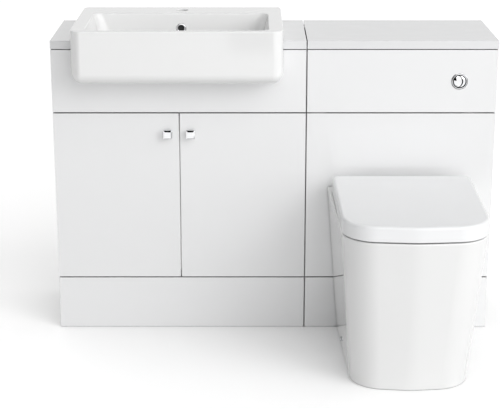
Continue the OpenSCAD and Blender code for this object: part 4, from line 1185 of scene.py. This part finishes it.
@dataclass
class Pan:
    """The back-to-wall pan: a thin-walled casting with its bowl, trapway and sockets."""

    x: float = 335.0
    face_y: float = 88.0
    top_z: float = 405.0
    rim_r: float = 3.5
    mouth_r: float = 8.0
    wall: float = 9.0
    hollow_z: float = 384.0
    waist_z: float = 250.0
    sump_z: float = 100.0
    soil_z: float = 180.0
    flush_z: float = 335.0
    bolt_x: float = 77.5
    bolt_y: float = 39.0

    def plans(self, grow: float) -> tuple[Plan, Plan]:
        """Gives the outlines of the rim and of the foot, moved outwards by a distance."""
        return (Plan(self.x, 192, 88, 1.0, 178, -388, 92, 7.0, fineness=20).grown(grow),
                Plan(self.x, 160, 88, 1.0, 148, -325, 84, 7.0, fineness=20).grown(grow))

    def hollow(self) -> Piece:
        """Makes the hollow inside, flat on top.

        Returns:
            The solid.
        """
        rim, foot = self.plans(-12.0)
        rings = [foot.outline(-2.0)]
        rings += [foot.towards(rim, s).outline(self.top_z * s) for s in (0.08, 0.3, 0.6, 0.85)]
        last = foot.towards(rim, self.hollow_z / self.top_z)
        return lofted("hollow", rings + last.edge(10.0, self.hollow_z, 3))

    def outside(self) -> Piece:
        """Makes the outside, with a small foot and a soft rim.

        Returns:
            The solid.
        """
        rim, foot = self.plans(0.0)
        rings = foot.stack((-6, 0), (-1.2, 0), (0, 1.2))
        rings += [foot.towards(rim, k / 10).outline(self.top_z * k / 10) for k in range(1, 10)]
        rings += rim.stack((0, self.top_z - self.rim_r - 1)) + rim.edge(self.rim_r, self.top_z)
        rings += rim.stack((-self.rim_r - 5, self.top_z))
        return lofted("pan_casting", rings)

    def bowl(self, grow: float, flare: bool) -> Piece:
        """Makes the bowl's hollow, or with a wall round it the bowl's outside.

        Args:
            grow: thickness of the wall round it.
            flare: True to open the mouth out into a soft edge.

        Returns:
            The solid.
        """
        mouth = Plan(self.x, 140, -20, 60, 140, -350, 100, 2.0, 150.0, 20)
        waist = Plan(self.x, 104, -54, 60, 104, -288, 78, 1.5, 110.0, 20)
        sump = Plan(self.x, 44, -88, 40, 44, -176, 40, 0.6, 43.0, 20)
        top, r = self.top_z, self.mouth_r
        if flare:
            rings = mouth.stack((r, top + 5), *[
                (r - r * math.sin(t), top - r * (1 - math.cos(t)))
                for t in (0, 0.26, 0.52, 0.79, 1.05, 1.31, 1.57)])
        else:
            rings = mouth.stack((grow, top - 1))
        for start, end, steps, bulge, high, low in (
                (mouth, waist, 12, 5.0, top - r, self.waist_z),
                (waist, sump, 8, 4.0, self.waist_z, self.sump_z)):
            for k in range(1, steps + 1):
                s = k / steps
                swell = bulge * math.sin(math.pi * s)
                rings += start.towards(end, s).stack((grow + swell, high - (high - low) * s))
        for k in range(1, 5):
            t = 0.5 * math.pi * k / 4
            rings += sump.stack((grow - 20 * (1 - math.cos(t)),
                                 self.sump_z - (20 + 0.8 * grow) * math.sin(t)))
        return lofted("bowl", rings)

    def way(self, start: tuple[float, float], end: tuple[float, float],
            radius: float, past: float) -> Piece:
        """Makes a straight round way in the pan's middle plane, run on at both ends.

        Args:
            start: Y and Z of one end.
            end: Y and Z of the other.
            radius: its radius.
            past: how far it runs on.

        Returns:
            The solid.
        """
        along = Vector((0, end[0] - start[0], end[1] - start[1]))
        length = along.length
        piece = turned("way", Axis.Z, (0, 0, 0), [(0.5 * radius, -past), (radius, -past + 1),
                                                  (radius, length + past - 1),
                                                  (0.5 * radius, length + past)])
        turn = along.to_track_quat("Z", "Y").to_matrix().to_4x4()
        piece.data.transform(Matrix.Translation(Vector((self.x, start[0], start[1])) * MM) @ turn)
        return piece

    def trapway(self, grow: float) -> list[Piece]:
        """Makes the rising and the falling part of the trapway."""
        return [self.way((-132, 100), (0, 228), 38 + grow, 12 + grow),
                self.way((0, 228), (64, 180), 36 + grow, 12 + grow)]

    def casting(self) -> Piece:
        """Makes the whole pan.

        Returns:
            The casting.
        """
        x, face = self.x, self.face_y
        soil, flush = (x, 0, self.soil_z), (x, 0, self.flush_z)
        # Walls stay round the bowl, the trapway and both sockets, so the hollow leaves them out.
        hollow = self.hollow()
        carve(hollow, Cut.AWAY, self.bowl(self.wall, False), *self.trapway(self.wall),
              bar(Axis.Y, flush, -70, face + 2, 72.0), bar(Axis.Y, soil, 48, face + 2, 102.0))
        piece = self.outside()
        carve(piece, Cut.AWAY, hollow)
        carve(piece, Cut.JOIN, bar(Axis.Y, soil, face - 1, face + 50, 102.0))
        carve(piece, Cut.AWAY, self.bowl(0.0, True), *self.trapway(0.0),
              bar(Axis.Y, soil, face - 22, face + 51, 84.0),
              bar(Axis.Y, flush, -80, face + 1, 44.0),
              bar(Axis.Y, flush, face - 40, face + 1, 60.0))
        for side in (-1, 1):
            bolt = (x + side * self.bolt_x, self.bolt_y, 0)
            carve(piece, Cut.AWAY, bar(Axis.Z, bolt, 380, 410, 16.0),
                  bar(Axis.X, (x, -62, 28), side * 60, side * 190, 9.0))
        return smooth(piece, 28.0)

    def build(self, ribs: GripRibs) -> None:
        """Builds the pan with its connector, fixings and hinge bolts.

        Args:
            ribs: the maker of grip ribs.
        """
        finish(self.casting(), GLAZE, "toilet_pan")
        parts(PLASTIC, 1.0, "pan_connector")
        parts(ZINC, 0.4, "pan_fixings")
        parts(ZINC, 0.5, "seat_bolts")
        spots = [(self.x + side * self.bolt_x, self.bolt_y, 380.0) for side in (-1, 1)]
        ribs.make("wing_nut_ribs", spots, 16, 15.0, 9.6, ZINC)


@dataclass
class SeatAndLid:
    """The seat ring, the wrap-over lid, and the two chromed hinge posts."""

    x: float = 335.0
    hinge_y: float = 39.0
    hinge_z: float = 424.0
    spacing: float = 155.0
    seat_z: float = 412.0
    seat_top: float = 431.0
    crown: float = 1.5
    lid_z: float = 408.5
    lid_top: float = 447.0
    lid_under: float = 441.0
    lid_edge: float = 7.0

    def notch(self, side: int) -> Piece:
        """Makes the clear space round one post."""
        a, b = sorted((self.x + side * 65.5, self.x + side * 113.5))
        return box((a, 22, 400), (b, 90, 440))

    def pin_hole(self) -> Piece:
        """Makes the bore that both hinge pins go through."""
        return bar(Axis.X, (self.x, self.hinge_y, self.hinge_z), -155, 155, 8.2)

    def seat(self) -> Piece:
        """Makes the seat: a crowned ring with soft edges, notched for the posts.

        Returns:
            The seat.
        """
        outer = Plan(self.x, 174.5, 39, 4.0, 171, -380.5, 80.5, 7.0, fineness=20)
        hole = Plan(self.x, 116.5, -46, 70, 116.5, -324, 92, 1.0, 140.0, 20)
        low, edge = self.seat_z, self.seat_top - self.crown
        rings = outer.stack((-12, low), (-2, low), (0, low + 2), (0, edge - 6))
        rings += outer.edge(6.0, edge)[1:]
        start, end = outer.grown(-6.0), hole.grown(8.0)
        for s in (0.25, 0.5, 0.75):
            rings += start.towards(end, s).stack((0, edge + self.crown * math.sin(math.pi * s)))
        rings += hole.lip(8.0, edge, 6) + hole.stack((0, low + 3), (2, low), (12, low))
        piece = lofted("seat_ring", rings, closed=True)
        boss = bar(Axis.X, (self.x, self.hinge_y, self.hinge_z), -65.5, 65.5, 18.0)
        carve(piece, Cut.AWAY, self.notch(-1), self.notch(1))
        carve(piece, Cut.JOIN, boss)
        carve(piece, Cut.AWAY, self.pin_hole())
        return smooth(piece, 32.0)

    def lid(self) -> Piece:
        """Makes the lid: a shallow cap with a skirt, two lugs and four pads.

        Returns:
            The lid.
        """
        plan = Plan(self.x, 182, 49, 18.0, 178.5, -388, 88, 7.0, fineness=24)
        top, edge = self.lid_top, self.lid_edge
        low, under = self.lid_z, self.lid_under
        rings = plan.stack((-75, top), *[(-edge - t, top - 0.25) for t in (40, 15, 4)])
        rings += plan.edge(edge, top - 0.35, 8)[::-1]
        rings += plan.stack((0, low + 10), (0, low + 0.8), (-0.8, low), (-4.4, low),
                            (-5, low + 0.8))
        rings += plan.grown(-5).edge(4.0, under, 4) + plan.stack((-60, under))
        piece = lofted("wrap_over_lid", rings)
        carve(piece, Cut.AWAY, box((self.x - 115.5, 43.2, 400), (self.x + 115.5, 60, 441)))
        for side in (-1, 1):
            a, b = sorted((side * 89.5, side * 109.5))
            lug = bar(Axis.X, (self.x, self.hinge_y, self.hinge_z), a, b, 16.0)
            carve(lug, Cut.JOIN, box((self.x + a, 31, 424), (self.x + b, 47, 442)))
            carve(piece, Cut.JOIN, lug)
            for y in (-80.0, -260.0):
                carve(piece, Cut.JOIN, turned("pad", Axis.Z, (self.x + side * 140, y, 0),
                                              [(5.5, 431.3), (7, 432.6), (7, 441.5)], steps=32))
        carve(piece, Cut.AWAY, self.pin_hole())
        return smooth(piece, 30.0)

    def posts(self) -> Piece:
        """Makes the two hinge posts, each with its foot plate, barrel and pin.

        Returns:
            Both posts as one piece.
        """
        pair = None
        for side in (-1, 1):
            spot = (self.x + side * self.spacing / 2, self.hinge_y, 0.0)
            post = turned("post", Axis.Z, spot,
                          [(0, 405), (21.6, 405), (22, 405.5), (22, 406.9), (21.2, 407.8),
                           (19.8, 408), (11, 408), (9.4, 408.8), (9, 410.4), (9, 424), (0, 424)])
            pivot = (spot[0], self.hinge_y, self.hinge_z)
            carve(post, Cut.JOIN,
                  turned("barrel", Axis.X, pivot, [(0, -9), (8, -9), (8.7, -8.7), (9, -8), (9, 8),
                                                   (8.7, 8.7), (8, 9), (0, 9)]),
                  turned("pin", Axis.X, pivot, [(0, -32), (3.4, -32), (4, -31.3), (4, 31.3),
                                                (3.4, 32), (0, 32)], steps=32))
            pair = post if pair is None else carve(pair, Cut.JOIN, post)
        pair.name = "hinge_posts"
        return smooth(pair, 35.0)

    def build(self) -> None:
        """Builds the seat, the lid, the posts and the buffers."""
        finish(self.seat(), SEAT, "toilet_seat", body=Body.SEAT)
        finish(self.lid(), SEAT, "toilet_lid", body=Body.LID)
        finish(self.posts(), CHROME, "seat_hinge_posts")
        parts(CLEAR_DOT, 1.2, "seat_buffers", body=Body.SEAT)


@dataclass
class FlushButton:
    """The dual flush button: a ring, a disc split by a round edge, and what is behind it."""

    x: float = 485.0
    z: float = 691.5
    front_y: float = 84.0
    ring_r: float = 22.0
    bore_r: float = 16.8
    disc_r: float = 16.5
    split: float = 9.0
    play: float = 0.15
    dome: float = 1.9
    slope: float = 4.2

    def disc(self, name: str) -> Piece:
        """Makes the whole domed disc.

        Args:
            name: name of the disc.

        Returns:
            The disc.
        """
        r, front = self.disc_r, self.front_y
        profile = [(r * s, front + self.dome * s ** 2.2)
                   for s in (0.0, 0.15, 0.3, 0.45, 0.6, 0.74, 0.84, 0.9)]
        profile += [(r - 1.3, front + 1.75), (r - 0.2, front + 4.4), (r, front + 4.9),
                    (r, front + 6.0), (0, front + 6.0)]
        return turned(name, Axis.Y, (self.x, 0, self.z), profile, steps=96)

    def divide(self, play: float) -> Piece:
        """Makes the round edge between the two pieces, moved by its play and sloped in front.

        Args:
            play: how far it lies outside the edge, negative for inside.

        Returns:
            The solid inside the edge.
        """
        edge = self.disc_r + play
        slope = math.copysign(self.slope, play)
        return turned("divide", Axis.Y, (self.x - self.split, 0, self.z),
                      [(0, 80), (edge + slope, 80), (edge, 87), (edge, 95), (0, 95)], steps=96)

    def leg(self, node: str, x: float) -> Piece:
        """Makes the leg behind a button piece, as thick and as long as the CAD node's.

        Args:
            node: name of the CAD node.
            x: where the leg stands.

        Returns:
            The leg.
        """
        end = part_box(node)[1].y
        rear = [v.co.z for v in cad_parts[node].data.vertices if v.co.y > end - 0.001]
        return bar(Axis.Y, (x, 0, self.z), 89, end / MM, (max(rear) - min(rear)) / MM)

    def build(self) -> None:
        """Builds the ring, both pieces, the housing and the cable."""
        r, b = self.ring_r, self.bore_r
        ring = turned("button_ring", Axis.Y, (self.x, self.front_y + 1.0, self.z),
                      [(b, 30), (b, 4.6), (b + 0.2, 3.5), (b + 1.15, 0.4), (b + 1.4, 0.08),
                       (b + 1.8, 0.0), (r - 2.8, 0.05), (r - 2.45, 0.3), (r - 2.1, 1.2),
                       (r - 1.7, 2.4), (r - 1.3, 2.5), (r - 0.7, 1.5), (r - 0.3, 1.6),
                       (r, 2.2), (r, 3.0), (20, 3.0), (20, 30)],
                      hoop=True, steps=96)
        finish(smooth(ring, 40.0), CHROME, "button_bezel")
        leg_x = self.x - self.split / 2
        for flush, how, play, x, body in (
                ("full", Cut.SHARE, -self.play, leg_x, Body.FULL_BUTTON),
                ("half", Cut.AWAY, self.play, leg_x + self.disc_r, Body.HALF_BUTTON)):
            node = f"{flush}_flush_button"
            cap = carve(self.disc(f"{flush}_button_cap"), how, self.divide(play))
            carve(cap, Cut.JOIN, self.leg(node, x))
            finish(smooth(rounded(cap, 0.35, 50.0), 40.0), CHROME, node, body=body)
        parts(PLASTIC, 0.6, "button_housing")
        parts(RUBBER, 0.0, "flush_cable")


@dataclass
class Cistern:
    """The concealed cistern with its valves, flush pipe and seals."""

    x: float = 335.0
    fill_x: float = 455.0
    tank_y: float = 299.5
    nut_z: float = 435.0
    tail_z: float = 401.0

    def build(self, ribs: GripRibs, threads: Threads) -> None:
        """Builds the tank and everything in and under it.

        Args:
            ribs: the maker of grip ribs.
            threads: the maker of threads.
        """
        parts(PLASTIC, 2.0, "cistern_tank")
        parts(PLASTIC, 1.0, "cistern_lid")
        parts(PLASTIC, 0.5, "flush_valve_body")
        parts(PLASTIC, 0.8, "cistern_nuts")
        parts(PLASTIC, 0.6, "fill_valve")
        parts(PLASTIC, 0.5, "flush_pipe")
        parts(RUBBER, 0.0, "flush_pipe_seal")
        parts(PLASTIC, 0.5, "flush_valve_core", body=Body.VALVE_CORE)
        parts(RUBBER, 0.4, "flush_valve_seal", body=Body.VALVE_CORE)
        parts(PLASTIC, 1.2, "float_cup", body=Body.FLOAT)
        for name, x, count, radius in (("valve_nut_ribs", self.x, 32, 39.0),
                                       ("fill_nut_ribs", self.fill_x, 20, 17.0)):
            ribs.make(name, [(x, self.tank_y, self.nut_z)], count, radius, 9.6, PLASTIC)
        threads.make("fill_thread", (self.fill_x, self.tank_y, self.tail_z), 10.1, 28.0, 1.8,
                     PLASTIC)


# ---------- studio ----------


@dataclass
class Studio:
    """The pale floor, the soft light, the black cards, the world and the camera, in metres."""

    floor_half: float = 20.0
    floor_tone: float = 0.80
    floor_glow: float = 0.555
    contact: float = 2.2
    fill: float = 0.36
    key_strength: float = 2.16
    key_spread: float = 88.0
    key_from: Point = (0.48, -0.78, 0.26)
    back_strength: float = 0.8
    back_spread: float = 50.0
    back_from: Point = (-0.25, 0.96, 0.12)
    side_watts: float = 8.0
    side_size: float = 0.8
    side_at: Point = (1.3, -1.4, 1.6)
    side_aim: Point = (0.35, 0.1, 0.6)
    wall_x: float = 0.568
    wall_y: float = 0.386
    wall_z: tuple[float, float] = (0.03, 0.755)
    wall_tone: float = 0.55
    camera_at: Point = (-0.0634, -3.571, 1.5135)
    pitch: float = 16.588
    lens: float = 102.95
    shift: tuple[float, float] = (0.0, -0.05)

    def card(self, name: str, corners: list[Point], look: bpy.types.Material,
             *unseen: str) -> None:
        """Hangs a flat card, or lays the floor.

        Args:
            name: the card's name.
            corners: its corners in order, in metres.
            look: its material.
            unseen: the kinds of ray that pass it by.
        """
        mesh = bpy.data.meshes.new(name)
        mesh.from_pydata(corners, [], [tuple(range(len(corners)))])
        mesh.materials.append(look)
        piece = put(name, mesh)
        for ray in unseen:
            setattr(piece, f"visible_{ray}", False)

    def floor(self) -> None:
        """Makes the floor, with a faint glow that takes it up to white away from the unit.

        The glow fades near whatever stands on the floor, as light from all round would.
        """
        look = bpy.data.materials.new("pale_floor")
        net = Wiring.blank(look)
        matt = net.add("ShaderNodeBsdfDiffuse", {"Color": grey(self.floor_tone)}).outputs[0]
        near = net.add("ShaderNodeAmbientOcclusion", {"Distance": self.contact}, samples=8)
        glow = net.add("ShaderNodeEmission", {"Color": near.outputs["Color"],
                                              "Strength": self.floor_glow})
        both = net.add("ShaderNodeAddShader", {0: matt, 1: glow.outputs[0]})
        net.end("ShaderNodeOutputMaterial", self.looked_at(net), matt, both.outputs[0])
        far = self.floor_half
        self.card("floor", [(-far, -far, 0), (far, -far, 0), (far, far, 0), (-far, far, 0)], look)

    def looked_at(self, net: Wiring) -> Socket:
        """Adds a value that is 1 to the camera, in reflections and through glass, and 0 to light.

        Args:
            net: the nodes of the world or a material.

        Returns:
            The socket with the value.
        """
        seen = net.add("ShaderNodeLightPath", {})
        total = seen.outputs["Is Camera Ray"]
        for ray in ("Is Glossy Ray", "Is Transmission Ray"):
            total = net.calc("MAXIMUM", total, seen.outputs[ray])
        return total

    def world(self) -> None:
        """Sets a plain sky: white to the camera and in reflections, and a soft fill as light."""
        world = bpy.data.worlds.new("studio")
        bpy.context.scene.world = world
        net = Wiring.blank(world)
        light, white = (net.add("ShaderNodeBackground", {"Color": grey(1.0), "Strength": strength})
                        for strength in (self.fill, 1.0))
        net.end("ShaderNodeOutputWorld", self.looked_at(net), light.outputs[0], white.outputs[0])

    def lamp(self, name: str, kind: str, strength: float, toward: Vector,
             shines: bool = False) -> Piece:
        """Hangs a soft lamp.

        Args:
            name: the lamp's name.
            kind: the lamp's type.
            strength: its strength.
            toward: the direction in which it shines.
            shines: True to let reflections show it.

        Returns:
            The lamp.
        """
        lamp = put(name, bpy.data.lights.new(name, kind))
        lamp.data.energy = strength
        lamp.rotation_euler = toward.to_track_quat("-Z", "Y").to_euler()
        lamp.visible_glossy = shines
        return lamp

    def lamps(self) -> None:
        """Hangs two broad lamps a long way off, and a small one nearer to the toilet's side."""
        key = self.lamp("key", "SUN", self.key_strength, -Vector(self.key_from), shines=True)
        key.data.angle = math.radians(self.key_spread)
        back = self.lamp("back", "SUN", self.back_strength, -Vector(self.back_from))
        back.data.angle = math.radians(self.back_spread)
        side = self.lamp("side", "AREA", self.side_watts,
                         Vector(self.side_aim) - Vector(self.side_at))
        side.data.size = self.side_size
        side.location = self.side_at

    def wall_shade(self) -> None:
        """Hangs a grey card behind the open-backed cabinets: painted shade behind the door gaps.

        Only the camera sees it, and only from the front, so it closes the joints between the
        doors and leaves the cabinets open from behind.
        """
        look = bpy.data.materials.new("wall_in_shade")
        net = Wiring.blank(look)
        dim = net.add("ShaderNodeBsdfDiffuse", {"Color": grey(self.wall_tone)})
        clear = net.add("ShaderNodeBsdfTransparent", {})
        side = net.add("ShaderNodeNewGeometry", {})
        net.end("ShaderNodeOutputMaterial", side.outputs["Backfacing"], dim.outputs[0],
                clear.outputs[0])
        x, y, (low, top) = self.wall_x, self.wall_y, self.wall_z
        self.card("wall_shade", [(-x, y, low), (x, y, low), (x, y, top), (-x, y, top)], look,
                  "diffuse", "glossy", "shadow", "transmission")

    def flags(self) -> None:
        """Hangs black cards that only show in reflections, and draw the edges of bright metal."""
        for name, corners in (
                ("overhead_flag", [(-2.4, -2.3, 3.2), (2.4, -2.3, 3.2), (2.4, 0.0, 3.2),
                                   (-2.4, 0.0, 3.2)]),
                ("left_flag", [(-1.5, -2.6, 0.0), (-1.5, -0.35, 0.0), (-1.5, -0.35, 2.2),
                               (-1.5, -2.6, 2.2)]),
                ("front_flag", [(-1.3, -2.4, 0.45), (-0.15, -2.4, 0.45), (-0.15, -2.4, 0.3),
                                (0.25, -2.4, 0.3), (0.25, -2.4, 1.3), (-1.3, -2.4, 1.3)])):
            look = bpy.data.materials.new(name + "_black")
            look.use_nodes = True
            Wiring(look.node_tree).wire(look.node_tree.nodes["Principled BSDF"], {
                "Base Color": grey(0.0), "Specular IOR Level": 0.0})
            self.card(name, corners, look, "camera", "diffuse", "shadow", "transmission")

    def camera(self) -> None:
        """Sets the camera where the photograph was taken from."""
        data = bpy.data.cameras.new("camera")
        data.lens = self.lens
        data.sensor_width = 36.0
        data.shift_x, data.shift_y = self.shift
        data.clip_end = 100.0
        eye = put("camera", data)
        eye.location = self.camera_at
        eye.rotation_euler = (math.radians(90.0 - self.pitch), 0.0, 0.0)
        bpy.context.scene.camera = eye

    def build(self) -> None:
        """Builds the whole studio."""
        self.floor()
        self.world()
        self.lamps()
        self.flags()
        self.wall_shade()
        self.camera()
        bpy.context.scene.view_settings.view_transform = "Standard"


def main() -> None:
    """Builds the unit from its sub-assemblies, then the studio round it."""
    logging.basicConfig(level=logging.INFO, format="%(message)s")
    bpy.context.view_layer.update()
    screws, ribs, threads = ScrewHeads(), GripRibs(), Threads()
    Studio().build()
    Cabinets().build(screws)
    Doors().build(screws)
    Basin().build(ribs, threads)
    Pan().build(ribs)
    SeatAndLid().build()
    FlushButton().build()
    Cistern().build(ribs, threads)


if __name__ == "__main__":
    main()
